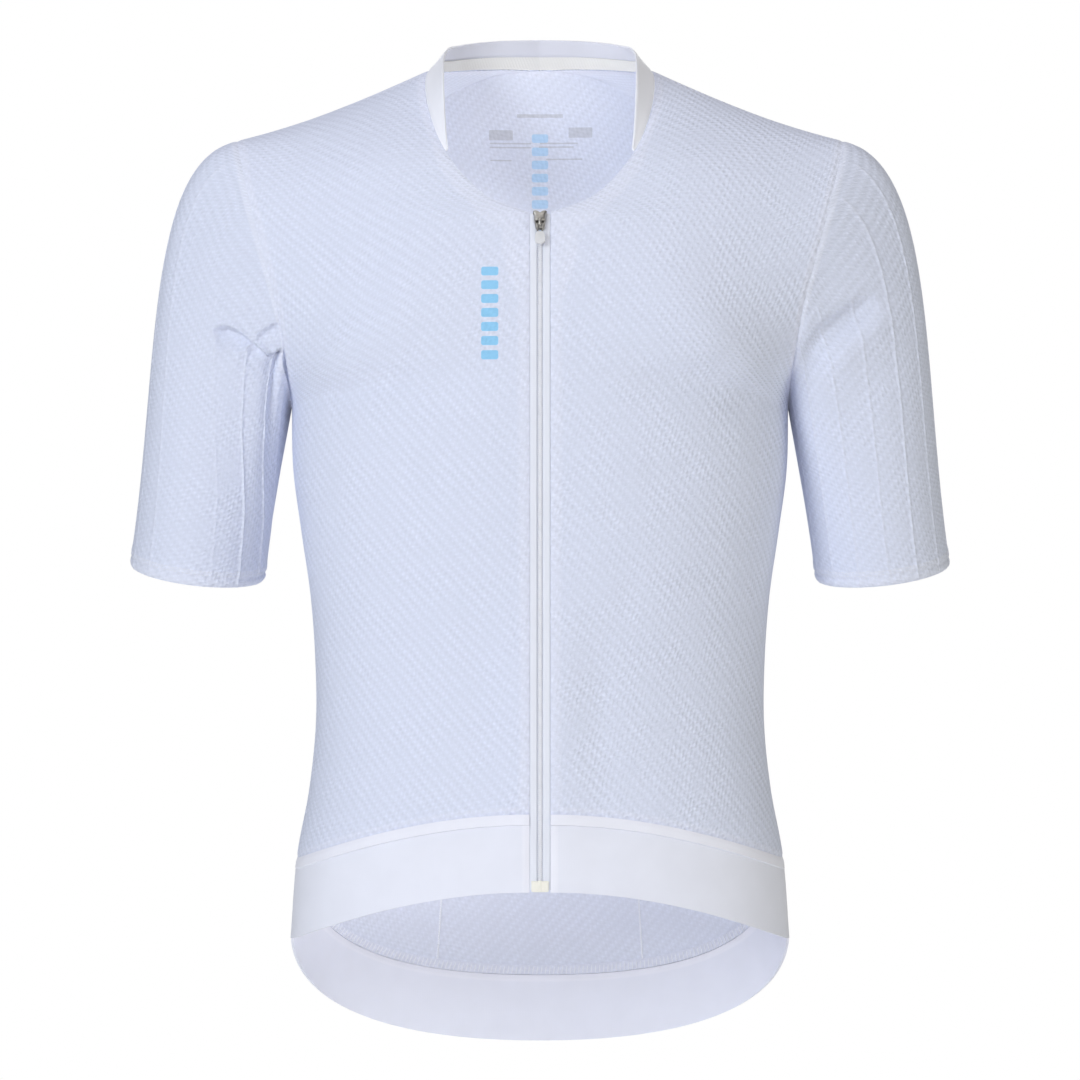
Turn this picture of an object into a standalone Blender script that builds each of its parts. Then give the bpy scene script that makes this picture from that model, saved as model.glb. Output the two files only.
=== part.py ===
# Short-sleeved cycling jersey, open and rounded as it is worn, with nobody in it.
# Metres, +Z up. The front faces -Y and +X is the wearer's left.
# The origin is the middle of the neck base, level with the tops of the shoulders.
import math

import bmesh
import bpy
from mathutils import Vector

for leftover in list(bpy.data.objects):
    bpy.data.objects.remove(leftover, do_unlink=True)

MM = 0.001  # the tables and sizes below are in millimetres

# ---- cloth and seams
KNIT = 1.2  # wall of the mesh panels, the sleeves and the collar
DOUBLED = 1.6  # wall of the folded hem band
SEAM_GAP = 0.3  # between two pieces at a seam, and between a panel and what lies on it

# ---- zip
ZIP_EDGE = 7.3  # from the centre line to the edge of each front panel
TAPE_WIDTH = 12.7
TAPE_THICK = 0.8
TAPE_DEPTH = 1.9  # from the front of the cloth to the front of the tape
TAPE_LEAN = 0.8  # the tape's outer edges lie this much deeper, under the curve of the panels
TAPE_END = 0.03  # body rows from the ends of the panels
CHAIN_WIDTH = 3.4
CHAIN_THICK = 1.1

# ---- body panels: one row for each section, from the front hem over the shoulder to the back hem.
# in: the centre line or neckline end.  out: the side seam or armhole end.
# turn: heading of the cloth at its outer end, 90 = straight back, -90 = straight forward.
# full: how square the section is.  slope: how soon it leaves its inner height.
# sweep: how much of the fall is left for the outer end.
BODY_COLUMNS = ("x_in", "y_in", "z_in", "x_out", "y_out", "z_out", "turn", "full", "slope", "sweep")
BODY_STEP = 0.2  # rows each side of a point that give the way of the cloth along the body
BODY_ROWS = (
    (ZIP_EDGE, -112, -576, 179.5, 0, -617, 90, 0.57, 0, 0),  # 0 lower edge of the front band
    (ZIP_EDGE, -109, -522, 175, 0, -559, 90, 0.57, 0, 0),  # 1 upper edge of the front band
    (ZIP_EDGE, -106, -478, 166.3, 0, -511, 90, 0.57, 0, 0),
    (ZIP_EDGE, -104.5, -434, 161.5, 0, -464, 90, 0.57, 0, 0),  # 3 waist
    (ZIP_EDGE, -105, -390, 161.8, 0, -418, 90, 0.58, 0, 0),
    (ZIP_EDGE, -108, -346, 165, 0, -372, 90, 0.59, 0, 0),
    (ZIP_EDGE, -112, -302, 171.5, 0, -326, 90, 0.6, 0, 0),
    (ZIP_EDGE, -114.5, -258, 177.5, 0, -280, 90, 0.6, 0, 0),
    (ZIP_EDGE, -114, -215, 178.5, 0, -235, 90, 0.6, 0, 0),  # 8 underarm
    (ZIP_EDGE, -110.5, -176, 180.5, -42, -207, 60, 0.58, 0, 0),
    (ZIP_EDGE, -103, -138, 186, -59, -169, 34, 0.55, 0, 0.1),
    (ZIP_EDGE, -92, -101.5, 195, -58, -132, 22, 0.5, 0, 0.2),  # 11 foot of the neckline
    (40, -84, -87, 204, -50, -99, 18, 0.45, 0.5, 0.3),
    (67, -65, -56, 211, -34, -71, 14, 0.4, 0.9, 0.3),  # 13 front tip of the collar
    (80.5, -27, -21, 216.5, -12, -48.5, 6, 0.37, 1.1, 0.27),
    (82, 14, 7, 218.5, 14, -43, -2, 0.35, 1.2, 0.26),  # 15 shoulder seam
    (67, 40.5, 11.5, 216.5, 38, -52, -10, 0.37, 1, 0.27),
    (37, 56, 14, 211, 57, -76, -18, 0.42, 0.6, 0.3),
    (0, 61, 14, 203, 66, -111, -24, 0.48, 0, 0.3),  # 18 centre of the back neck
    (0, 74, -28, 194.5, 68, -145, -30, 0.52, 0, 0.3),
    (0, 87, -72, 186, 62, -180, -42, 0.56, 0, 0.3),
    (0, 97, -118, 180.5, 40, -214, -64, 0.58, 0, 0.3),
    (0, 104, -166, 178.5, 0, -235, -90, 0.6, 0, 0.25),  # 22 underarm
    (0, 107, -232, 177.5, 0, -280, -90, 0.6, 0, 0.1),
    (0, 101, -300, 171.5, 0, -326, -90, 0.59, 0, 0),
    (0, 91, -370, 165, 0, -372, -90, 0.58, 0, 0),
    (0, 83, -440, 161.8, 0, -418, -90, 0.57, 0, 0.2),  # 26 waist
    (0, 84, -511, 161.5, 0, -464, -90, 0.57, 0, 0.4),
    (0, 95, -583, 166.3, 0, -511, -90, 0.58, 0, 0.6),
    (0, 106, -654, 175, 0, -559, -90, 0.59, 0, 0.76),  # 29 upper edge of the back band
    (0, 111, -703.5, 179.5, 0, -617, -90, 0.59, 0, 0.68),  # 30 lower edge of the back band
)
FRONT_HEM, FRONT_BAND, UNDERARM, NECK_FOOT, COLLAR_TIP, SHOULDER = 0, 1, 8, 11, 13, 15
BACK_NECK, BACK_UNDERARM, BACK_BAND, BACK_HEM = 18, 22, 29, 30
INNER_CORNERS = (NECK_FOOT, BACK_NECK)
OUTER_CORNERS = (UNDERARM, BACK_UNDERARM)
STRIPS = 11  # strips of cloth across half the body
PER_ROW = 2  # rings of cloth from one table row to the next

# ---- sleeves
CUFF_CENTRE = (248.6, 25, -354)
CUFF_HALF_WIDTH = 49
CUFF_HALF_DEPTH = 51
CUFF_LEAN = math.radians(7)  # the arm stands out from the body
CUFF_TILT = math.radians(11)  # the arm hangs slightly back, so the cuff is lower in front
CUFF_TURNS = {"left": math.radians(-2), "right": math.radians(9)}  # the ribs turn a little round the arm
RIBS = 14
RIB_HALF_WIDTH = 0.16  # in steps of half the rib spacing
RIB_HEIGHT = 0.8
RIB_FADE = 0.12  # share of the sleeve over which the ribs rise from the armhole seam
CUFF_HEM = 0.972  # where the turned hem starts, as a share of the sleeve
CUFF_HEM_RAISE = 0.5
SLEEVE_ROWS = (0, 0.035, 0.075, 0.12, 0.17, 0.23, 0.31, 0.41, 0.52, 0.63, 0.74, 0.85, 0.965, CUFF_HEM, 1)
SLEEVE_LEAVE = (72, 30)  # length of the curve out of the armhole, at the shoulder and at the underarm
SLEEVE_ARRIVE = (140, 45)  # and into the cuff
SLEEVE_TAPER = 7  # the shoulder side leans in this much more above the cuff
SLEEVE_START = 0.24  # out from the edges of the panels

# ---- folds: soft creases along a line, laid out from the front or the back.
# face: -1 front, 1 back.  A depth below 0 is a ridge.
FOLD_COLUMNS = ("face", "x0", "z0", "x1", "z1", "width", "depth")
BODY_FOLDS = (
    (-1, 30, -214, 118, -224, 16, 1.6),  # under the chest
    (-1, -20, -218, -112, -228, 16, 1.8),
    (-1, 40, -276, 125, -262, 20, 1.2),
    (-1, -36, -280, -120, -268, 20, 1.4),
    (1, -120, -296, -30, -338, 16, 2.6),  # small of the back
    (1, 112, -312, 40, -346, 16, 2.2),
    (1, -95, -372, -10, -392, 14, 2.0),
    (1, 100, -380, 30, -402, 14, 2.4),
)
LEFT_SLEEVE_FOLDS = (
    (-1, 233, -161, 186, -196, 11, 7.0),  # from the arm down to the armpit
    (-1, 244, -176, 200, -218, 9, -2.5),
    (1, 238, -168, 188, -205, 12, 6.0),
    (1, 262, -236, 214, -262, 13, 3.0),
)
RIGHT_SLEEVE_FOLDS = (
    (-1, -231, -177, -209, -188, 8, 6.0),
    (-1, -211, -187, -184, -200, 8, 7.5),
    (-1, -226, -160, -196, -180, 9, -3.0),
    (1, -240, -172, -190, -206, 12, 6.5),
    (1, -266, -244, -218, -262, 13, 2.6),
)

# ---- front hem band: a raised seam strip along its upper edge, as body rows
BAND_STRIP_FOOT, BAND_STRIP_EDGE, BAND_STRIP_RAISE = 0.845, 0.875, 0.5

# ---- collar: its free edge, a row beside each body row from the front tip to the back neck
COLLAR_COLUMNS = ("x", "y", "z")
COLLAR_EDGE = (
    (66.4, -65.2, -54),
    (69.5, -30, -2),
    (68.5, 13, 22.5),
    (58, 36, 29.5),
    (33, 53, 34),
    (0, 58.5, 35.5),
)
NECK_TAPE_TOP = 0.42  # share of the collar's height
NECK_TAPE_THICK = 0.9
NECK_TAPE_ENDS = 4  # collar strips left bare beyond each end

# ---- pockets, between strips of the back panel
POCKET_DIVIDER = 3  # strips from the centre line
POCKET_SIDE = 10
POCKET_TOP = (26.55, 26.8)  # body row of the top edge, at the centre and at the outer corners
POCKET_FIRST_ROW = 27  # the first body row that crosses all three below their hems
POCKET_HEM, POCKET_HEM_STEP = 0.12, 0.03  # body rows: height of the hem, and of the step below it
POCKET_HEM_RAISE = 0.5
POCKET_CLOTH = 1.1

# ---- slider, bail, pull and box, with depths measured in from the front of the cloth
SLIDER_TOP, SLIDER_FOOT = -101.5, -114.5
SLIDER_REAR, SLIDER_FRONT = 1.6, -3.3
SLIDER_HALF = ((5.0, 0), (5.0, 1.5), (4.15, 2.4), (4.0, 6.5), (2.9, 12.2), (2.0, 13))  # half width, down
BAIL_TOP, BAIL_FOOT = -104.5, -113.4
BAIL_POST = 1.1
BAIL_ROOT = 0.5  # how deep its feet stand in the slider
BAIL_HALF_WIDTH = 1.2
BAIL_INNER, BAIL_OUTER = -4.8, -5.8
BAIL_CORNER = 0.6
PULL_AXIS_Z, PULL_AXIS_DEPTH = -111.6, -4.1
PULL_BAR_RADIUS, PULL_BAR_SIDES = 0.4, 12
PULL_BAR_ROOT = 0.5
PULL_HALF_WIDTH, PULL_TIP_HALF_WIDTH = 3.1, 1.1
PULL_CORNER, PULL_TIP_HEIGHT = 0.8, 2
PULL_WINDOW_HALF = 1.6
PULL_WINDOW_FOOT = -116.4
PULL_FOOT = -126.5
PULL_THICK = 1.0
BOX_TOP, BOX_FOOT = -568, -575.5
BOX_HALF_WIDTH = 6
BOX_FRONT = -1.0
BOX_CORNER = 0.6


def clamp(value, low=0.0, high=1.0):
    return max(low, min(high, value))


def mix(a, b, share):
    return a + (b - a) * share


def steps_between(start, end, count):
    return [mix(start, end, k / count) for k in range(count + 1)]


# ---- the form of the garment

def table_value(rows, index, t, corners=()):
    """Value of one column at row position t, on a smooth curve that may turn sharply at the corner rows."""
    last = len(rows) - 1
    k = min(int(t), last - 1)
    s = t - k
    here, after = rows[k][index], rows[k + 1][index]
    step = after - here
    leave = step if k == 0 or k in corners else (after - rows[k - 1][index]) / 2
    arrive = step if k + 1 == last or k + 1 in corners else (rows[k + 2][index] - here) / 2
    return (here * (2 * s**3 - 3 * s**2 + 1) + leave * (s**3 - 2 * s**2 + s)
            + after * (3 * s**2 - 2 * s**3) + arrive * (s**3 - s**2))


def bezier(points, s):
    p0, p1, p2, p3 = points
    return p0 * (1 - s)**3 + p1 * 3 * s * (1 - s)**2 + p2 * 3 * s**2 * (1 - s) + p3 * s**3


def body_curve(t):
    """The four control points of the body section at row position t, on the wearer's left."""
    row = {}
    for i, name in enumerate(BODY_COLUMNS):
        corners = INNER_CORNERS if i < 3 else OUTER_CORNERS if i < 7 else ()
        row[name] = table_value(BODY_ROWS, i, t, corners)
    start = Vector((row["x_in"], row["y_in"], row["z_in"]))
    end = Vector((row["x_out"], row["y_out"], row["z_out"]))
    turn, span = math.radians(row["turn"]), end - start
    leave = start + Vector((row["full"] * span.x, 0, row["full"] * row["slope"] * span.z))
    reach = row["full"] * (span.x * math.cos(turn) + abs(span.y * math.sin(turn)))
    arrive = end - Vector((math.cos(turn), math.sin(turn), 0)) * reach
    arrive.z = end.z - row["sweep"] * span.z
    return start, leave, arrive, end


def bezier_way(points, s):
    """Direction of the curve, times its speed."""
    p0, p1, p2, p3 = points
    return (p1 - p0) * (1 - s)**2 + (p2 - p1) * 2 * s * (1 - s) + (p3 - p2) * s**2


def body_spot(t, u):
    """Point of the body's outer face on the wearer's left, and the way out of the cloth there.
    u runs from 0 at the centre line or neckline to 1 at the side seam or armhole."""
    curve = body_curve(t)
    low, high = max(t - BODY_STEP, FRONT_HEM), min(t + BODY_STEP, BACK_HEM)
    along = bezier(body_curve(high), u) - bezier(body_curve(low), u)
    return bezier(curve, u), bezier_way(curve, u).cross(along).normalized()


def armhole_row(p):
    """Body row beside armhole step p, from the shoulder seam down the front and up the back."""
    return SHOULDER - p / PER_ROW if p <= RIBS else SHOULDER + RIBS - p / PER_ROW


def armhole_point(p):
    """Point on the straight runs between the panels' own corner points."""
    low = math.floor(p)
    before, after = (body_curve(armhole_row(k))[3] for k in (low, low + 1))
    return mix(before, after, p - low)


def sleeve_point(p, r, turn):
    """Point of the left sleeve's outer face at step p round the ring, share r of the way to the cuff."""
    angle = math.pi * p / RIBS
    across = Vector((math.cos(CUFF_LEAN), 0, math.sin(CUFF_LEAN))) * CUFF_HALF_WIDTH
    forward = Vector((0, -math.cos(CUFF_TILT), -math.sin(CUFF_TILT))) * CUFF_HALF_DEPTH
    down = across.cross(forward).normalized()
    cuff = Vector(CUFF_CENTRE) + across * math.cos(angle + turn) + forward * math.sin(angle + turn)
    start = armhole_point(p)
    under = (1 - math.cos(angle)) / 2  # 0 at the shoulder, 1 at the underarm
    curve = body_curve(armhole_row(p))
    heading = mix((curve[3] - curve[2]).normalized(), (cuff - start).normalized(), under).normalized()
    start.x += SLEEVE_START
    above = cuff - down * mix(*SLEEVE_ARRIVE, under)
    above.x -= SLEEVE_TAPER * (1 - under)
    return bezier((start, start + heading * mix(*SLEEVE_LEAVE, under), above, cuff), r)


def fold_depth(point, normal, folds):
    """How far the folds push the cloth in at this point."""
    depth = 0
    for row in folds:
        fold = dict(zip(FOLD_COLUMNS, row))
        facing = clamp(fold["face"] * normal.y)
        start = Vector((fold["x0"], fold["z0"]))
        along = Vector((fold["x1"], fold["z1"])) - start
        offset = Vector((point.x, point.z)) - start
        share = clamp(offset.dot(along) / along.length_squared)
        near = (offset - along * share).length / fold["width"]
        depth += fold["depth"] * facing * math.exp(-near * near)
    return depth


# ---- cloth walls

def material(name, colour, roughness, metallic=0.0):
    made = bpy.data.materials.new(name)
    made.use_nodes = True
    shader = made.node_tree.nodes["Principled BSDF"]
    shader.inputs["Base Color"].default_value = (*colour, 1)
    shader.inputs["Roughness"].default_value = roughness
    shader.inputs["Metallic"].default_value = metallic
    return made


def add_solid(name, points, faces, finish, smooth=True):
    """One named object from points in millimetres."""
    mesh = bpy.data.meshes.new(name)
    mesh.from_pydata([p * MM for p in points], [], faces)
    shape = bmesh.new()
    shape.from_mesh(mesh)
    bmesh.ops.recalc_face_normals(shape, faces=shape.faces)
    shape.to_mesh(mesh)
    shape.free()
    if smooth:
        mesh.shade_smooth()
        mesh.set_sharp_from_angle(angle=math.radians(50))
    mesh.materials.append(finish)
    made = bpy.data.objects.new(name, mesh)
    bpy.context.scene.collection.objects.link(made)
    return made


def with_ways(grid, closed=False):
    """Spots for a plain grid of points: each point with the way out of the cloth, from the faces round it."""
    width = len(grid[0])
    ways = [[Vector() for _ in line] for line in grid]
    for i in range(len(grid) - 1):
        for j in range(width if closed else width - 1):
            k = (j + 1) % width
            way = (grid[i + 1][k] - grid[i][j]).cross(grid[i + 1][j] - grid[i][k])
            for row, column in ((i, j), (i, k), (i + 1, j), (i + 1, k)):
                ways[row][column] += way
    return [[(p, way.normalized()) for p, way in zip(*lines)] for lines in zip(grid, ways)]


def joined(grids, closed=False):
    """Spots and four-sided faces of one or more grids of rows, which share the spots where they meet."""
    spots, faces, known = [], [], {}

    def index(spot):
        key = tuple(round(c, 4) for c in spot[0])
        if key not in known:
            known[key] = len(spots)
            spots.append(spot)
        return known[key]

    for grid in grids:
        marks = [[index(spot) for spot in line] for line in grid]
        for low, high in zip(marks, marks[1:]):
            for j in range(len(low) if closed else len(low) - 1):
                k = (j + 1) % len(low)
                faces.append((low[j], low[k], high[k], high[j]))
    return spots, faces


def rim_of(faces):
    """The directed edges that only one face uses."""
    edges = [(a, b) for face in faces for a, b in zip(face, face[1:] + face[:1])]
    used = set(edges)
    return [(a, b) for a, b in edges if (b, a) not in used]


def set_back(points, ways, rim, distance):
    """Each rim point moved into the cloth, by the same distance from both edges that meet there."""
    moves = {}
    for a, b in rim:
        for k in (a, b):
            moves.setdefault(k, []).append(ways[k].cross(points[b] - points[a]).normalized())
    for k, (one, other) in moves.items():
        points[k] = points[k] + (one + other) * (distance / (1 + one.dot(other)))


def cloth(name, grids, thick, finish, folds=(), lift=None, closed=False, edge=SEAM_GAP / 2):
    """A cloth wall under the grids' outer face. The folds shape the whole wall and lift(spot number) its
    outer face alone. Its edges stand back from the seams."""
    spots, faces = joined(grids, closed)
    rim, ways = rim_of(faces), [way for _, way in spots]
    points = [p.copy() for p, _ in spots]
    if edge:
        set_back(points, ways, rim, edge)
    points = [p - way * fold_depth(p, way, folds) for p, way in zip(points, ways)]
    inner = [p - way * thick for p, way in zip(points, ways)]
    if lift:
        points = [p + way * lift(k) for k, (p, way) in enumerate(zip(points, ways))]
    back = len(points)
    shell = list(faces) + [(back + a, back + d, back + c, back + b) for a, b, c, d in faces]
    shell += [(b, a, back + a, back + b) for a, b in rim]
    return add_solid(name, points + inner, shell, finish)


def outward(grid, distance):
    """A grid of spots moved out from the cloth."""
    return [[(p + way * distance, way) for p, way in line] for line in grid]


def body_grid(rows, shares):
    return [[body_spot(t, u) for u in shares] for t in rows]


def other_side(spot):
    return tuple(Vector((-v.x, v.y, v.z)) for v in spot)


def mirrored(grid):
    """The same grid on the wearer's right, with its columns turned round."""
    return [[other_side(spot) for spot in reversed(line)] for line in grid]


# ---- the pieces

STRIP_SHARES = steps_between(0, 1, STRIPS)


def rows_between(start, end):
    return steps_between(start, end, (end - start) * PER_ROW)


def front_panels(finish):
    left = body_grid(rows_between(FRONT_BAND, SHOULDER), STRIP_SHARES)
    cloth("front_left", [left], KNIT, finish, BODY_FOLDS)
    cloth("front_right", [mirrored(left)], KNIT, finish, BODY_FOLDS)


def back_panel(finish):
    left = body_grid(rows_between(SHOULDER, BACK_BAND), STRIP_SHARES)
    cloth("back", [left, mirrored(left)], KNIT, finish, BODY_FOLDS)


def sleeves(finish):
    steps, crests = [], []
    for rib in range(RIBS):
        crest = 2 * rib + 1
        steps += [crest - 1, crest - RIB_HALF_WIDTH, crest, crest + RIB_HALF_WIDTH]
        crests += [0, 0, 1, 0]
    left, right = (with_ways([[sleeve_point(p, r, CUFF_TURNS[side]) for p in steps] for r in SLEEVE_ROWS],
                             closed=True) for side in ("left", "right"))
    for name, grid, ribs, folds in (("sleeve_left", left, crests, LEFT_SLEEVE_FOLDS),
                                    ("sleeve_right", mirrored(right), crests[::-1], RIGHT_SLEEVE_FOLDS)):
        def relief(k):
            r, crest = SLEEVE_ROWS[k // len(ribs)], ribs[k % len(ribs)]
            return RIB_HEIGHT * crest * clamp(r / RIB_FADE) + (CUFF_HEM_RAISE if r >= CUFF_HEM else 0)

        cloth(name, [grid], KNIT, finish, folds, relief, closed=True, edge=0)


def hem_band(finish):
    rows = (FRONT_HEM, 0.35, 0.7, BAND_STRIP_FOOT, BAND_STRIP_EDGE, FRONT_BAND)
    left = body_grid(rows, STRIP_SHARES)
    strip = rows.index(BAND_STRIP_EDGE) * len(STRIP_SHARES)
    for name, grid in (("waistband_front_left", left), ("waistband_front_right", mirrored(left))):
        cloth(name, [grid], DOUBLED, finish, lift=lambda k: BAND_STRIP_RAISE if k >= strip else 0)
    back = body_grid(steps_between(BACK_BAND, BACK_HEM, 3), STRIP_SHARES)
    cloth("waistband_back", [back, mirrored(back)], DOUBLED, finish)


def collar_and_tape(collar_finish, tape_finish):
    """The stand collar, and the tape that lies inside it over the back neck seam."""
    grid = []
    for share in (1, NECK_TAPE_TOP, 0):
        left = []
        for t in rows_between(COLLAR_TIP, BACK_NECK):
            seam = body_curve(t)[0]
            free = Vector([table_value(COLLAR_EDGE, i, t - COLLAR_TIP) for i in range(3)])
            foot = seam + (free - seam).normalized() * SEAM_GAP / 2
            left.append(mix(foot, free, share))
        right = [Vector((-p.x, p.y, p.z)) for p in left]
        grid.append(right[:-1] + left[::-1])
    grid = with_ways(grid)
    cloth("collar", [grid], KNIT, collar_finish)

    tape = [line[NECK_TAPE_ENDS:-NECK_TAPE_ENDS] for line in outward(grid[1:], -KNIT - SEAM_GAP)]
    cloth("neck_tape", [tape], NECK_TAPE_THICK, tape_finish, edge=0)


def pockets(finish):
    """Three patches on the back panel, made from the panel's own points."""
    half = body_grid(rows_between(SHOULDER, BACK_BAND), STRIP_SHARES)
    whole = [right[:-1] + left for right, left in zip(mirrored(half), half)]
    last = len(whole) - 1.02

    def on_back(t, column):
        at = min((t - SHOULDER) * PER_ROW, last)
        low = int(at)
        point, way = (mix(a, b, at - low) for a, b in zip(whole[low][column], whole[low + 1][column]))
        way.normalize()
        point = point - way * fold_depth(point, way, BODY_FOLDS)
        return point + way * (SEAM_GAP + POCKET_CLOTH), way

    for name, first, final in (("pocket_right", -POCKET_SIDE, -POCKET_DIVIDER),
                               ("pocket_centre", -POCKET_DIVIDER, POCKET_DIVIDER),
                               ("pocket_left", POCKET_DIVIDER, POCKET_SIDE)):
        columns = range(first, final + 1)
        grid = []
        for hem in (0, POCKET_HEM, POCKET_HEM + POCKET_HEM_STEP):
            line = []
            for column in columns:
                outer = clamp((abs(column) - POCKET_DIVIDER) / (POCKET_SIDE - POCKET_DIVIDER))
                line.append(on_back(mix(*POCKET_TOP, outer) + hem, STRIPS + column))
            grid.append(line)
        grid += [[on_back(t, STRIPS + column) for column in columns]
                 for t in rows_between(POCKET_FIRST_ROW, BACK_BAND)]
        hemmed = 2 * len(columns)
        cloth(name, [grid], POCKET_CLOTH, finish, lift=lambda k: POCKET_HEM_RAISE if k < hemmed else 0)


# ---- the zip

def centre_front(t):
    """Centre point of the front and the way out of the cloth there."""
    before, after = (body_curve(clamp(t + d, 0, NECK_FOOT))[0] for d in (-BODY_STEP, BODY_STEP))
    point, along = body_curve(t)[0], (after - before).normalized()
    return Vector((0, point.y, point.z)), Vector((0, -along.z, along.y))


def row_at_height(z):
    """Body row whose centre front point is at this height, found by halving."""
    low, high = 0.0, float(NECK_FOOT)
    while high - low > 1e-6:
        half = (low + high) / 2
        low, high = (half, high) if body_curve(half)[0].z < z else (low, half)
    return low


def zip_strip(name, x_low, x_high, depth, thick, rows, finish):
    """A strip down the centre front."""
    grid = []
    for t in rows:
        point, out = centre_front(t)
        grid.append([point - out * (depth + TAPE_LEAN * abs(x) / TAPE_WIDTH) + Vector((x, 0, 0))
                     for x in (x_low, x_high)])
    cloth(name, [with_ways(grid)], thick, finish, edge=0)


def prism(name, outline, place, depths, finish):
    """A solid between two copies of a flat outline, as place(a, b, depth) sets its corners."""
    count = len(outline)
    points = [place(a, b, depth) for depth in depths for a, b in outline]
    faces = [tuple(range(count)), tuple(range(count, 2 * count))]
    faces += [(k, (k + 1) % count, count + (k + 1) % count, count + k) for k in range(count)]
    return add_solid(name, points, faces, finish, smooth=False)


def combine(made, other, operation):
    """Join another solid to this one, or cut it out of it."""
    step = made.modifiers.new(other.name, "BOOLEAN")
    step.operation = operation
    step.object = other
    other.hide_render = True
    other.display_type = "WIRE"


def on_front(height):
    """place(x, z, depth) for the centre front at this height: x across, z up along the cloth, and depth in
    from the front of the cloth."""
    point, out = centre_front(row_at_height(height))
    along = Vector((0, out.z, -out.y))
    return lambda x, z, depth: point + along * (z - height) + Vector((x, 0, 0)) - out * depth


def zip_slider(finish):
    """The slider's body and its bail, in one piece."""
    place = on_front((SLIDER_TOP + SLIDER_FOOT) / 2)
    side = [(half, SLIDER_TOP - down) for half, down in SLIDER_HALF]
    outline = side + [(-x, z) for x, z in reversed(side)]
    body = prism("zip_slider", outline, place, (SLIDER_REAR, SLIDER_FRONT), finish)
    root, inner, outer, corner = SLIDER_FRONT + BAIL_ROOT, BAIL_INNER, BAIL_OUTER, BAIL_CORNER
    arch = ((root, BAIL_TOP), (outer + corner, BAIL_TOP), (outer, BAIL_TOP - corner),
            (outer, BAIL_FOOT + corner), (outer + corner, BAIL_FOOT), (root, BAIL_FOOT),
            (root, BAIL_FOOT + BAIL_POST), (inner, BAIL_FOOT + BAIL_POST),
            (inner, BAIL_TOP - BAIL_POST), (root, BAIL_TOP - BAIL_POST))
    bail = prism("bail", arch, lambda depth, z, x: place(x, z, depth),
                 (-BAIL_HALF_WIDTH, BAIL_HALF_WIDTH), finish)
    combine(body, bail, "UNION")


def zip_pull(finish):
    """The tab that hangs on the bail: its window is open round the bail's foot, under a round bar."""
    place = on_front((SLIDER_TOP + SLIDER_FOOT) / 2)
    pivot = place(0, PULL_AXIS_Z, PULL_AXIS_DEPTH)
    top, foot, sill = PULL_BAR_RADIUS, PULL_FOOT - PULL_AXIS_Z, PULL_WINDOW_FOOT - PULL_AXIS_Z
    half, window = PULL_HALF_WIDTH, PULL_WINDOW_HALF
    side = ((half - PULL_CORNER, top), (half, top - PULL_CORNER), (half, foot + PULL_TIP_HEIGHT),
            (half - PULL_CORNER, foot + PULL_CORNER), (PULL_TIP_HALF_WIDTH, foot))
    outline = side + tuple((-x, z) for x, z in reversed(side))
    above = top + PULL_THICK
    window_outline = ((-window, above), (window, above), (window, sill), (-window, sill))
    turns = [2 * math.pi * k / PULL_BAR_SIDES for k in range(PULL_BAR_SIDES)]
    bar_outline = [(PULL_BAR_RADIUS * math.sin(a), PULL_BAR_RADIUS * math.cos(a)) for a in turns]
    bar_end = window + PULL_BAR_ROOT

    def facing(x, z, depth):
        return place(x, PULL_AXIS_Z + z, PULL_AXIS_DEPTH + depth) - pivot

    pull = prism("zip_pull", outline, facing, (-PULL_THICK / 2, PULL_THICK / 2), finish)
    opening = prism("window", window_outline, facing, (-PULL_THICK, PULL_THICK), finish)
    bar = prism("bar", bar_outline, lambda depth, z, x: facing(x, z, depth), (-bar_end, bar_end), finish)
    combine(pull, opening, "DIFFERENCE")
    combine(pull, bar, "UNION")
    for piece in (pull, opening, bar):
        piece.location = pivot * MM


def zip_box(finish):
    """The retainer box at the foot of the chain."""
    place = on_front((BOX_TOP + BOX_FOOT) / 2)
    front, corner = BOX_FRONT, BOX_CORNER
    profile = ((SLIDER_REAR, BOX_FOOT), (SLIDER_REAR, BOX_TOP), (front + corner, BOX_TOP),
               (front, BOX_TOP - corner), (front, BOX_FOOT + corner), (front + corner, BOX_FOOT))
    prism("zip_box", profile, lambda depth, z, x: place(x, z, depth),
          (-BOX_HALF_WIDTH, BOX_HALF_WIDTH), finish)


def zip_fastener(tape_finish, chain_finish, metal, rubber, box_finish):
    rows = steps_between(TAPE_END, NECK_FOOT - TAPE_END, NECK_FOOT * PER_ROW)
    half = SEAM_GAP / 2
    zip_strip("zip_tape_left", half, TAPE_WIDTH, TAPE_DEPTH, TAPE_THICK, rows, tape_finish)
    zip_strip("zip_tape_right", -TAPE_WIDTH, -half, TAPE_DEPTH, TAPE_THICK, rows, tape_finish)
    rows = steps_between(row_at_height(BOX_TOP + SEAM_GAP), row_at_height(SLIDER_FOOT - SEAM_GAP),
                         NECK_FOOT * PER_ROW)
    zip_strip("zip_chain", -CHAIN_WIDTH / 2, CHAIN_WIDTH / 2, TAPE_DEPTH - SEAM_GAP - CHAIN_THICK,
              CHAIN_THICK, rows, chain_finish)
    zip_slider(metal)
    zip_pull(rubber)
    zip_box(box_finish)


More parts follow.
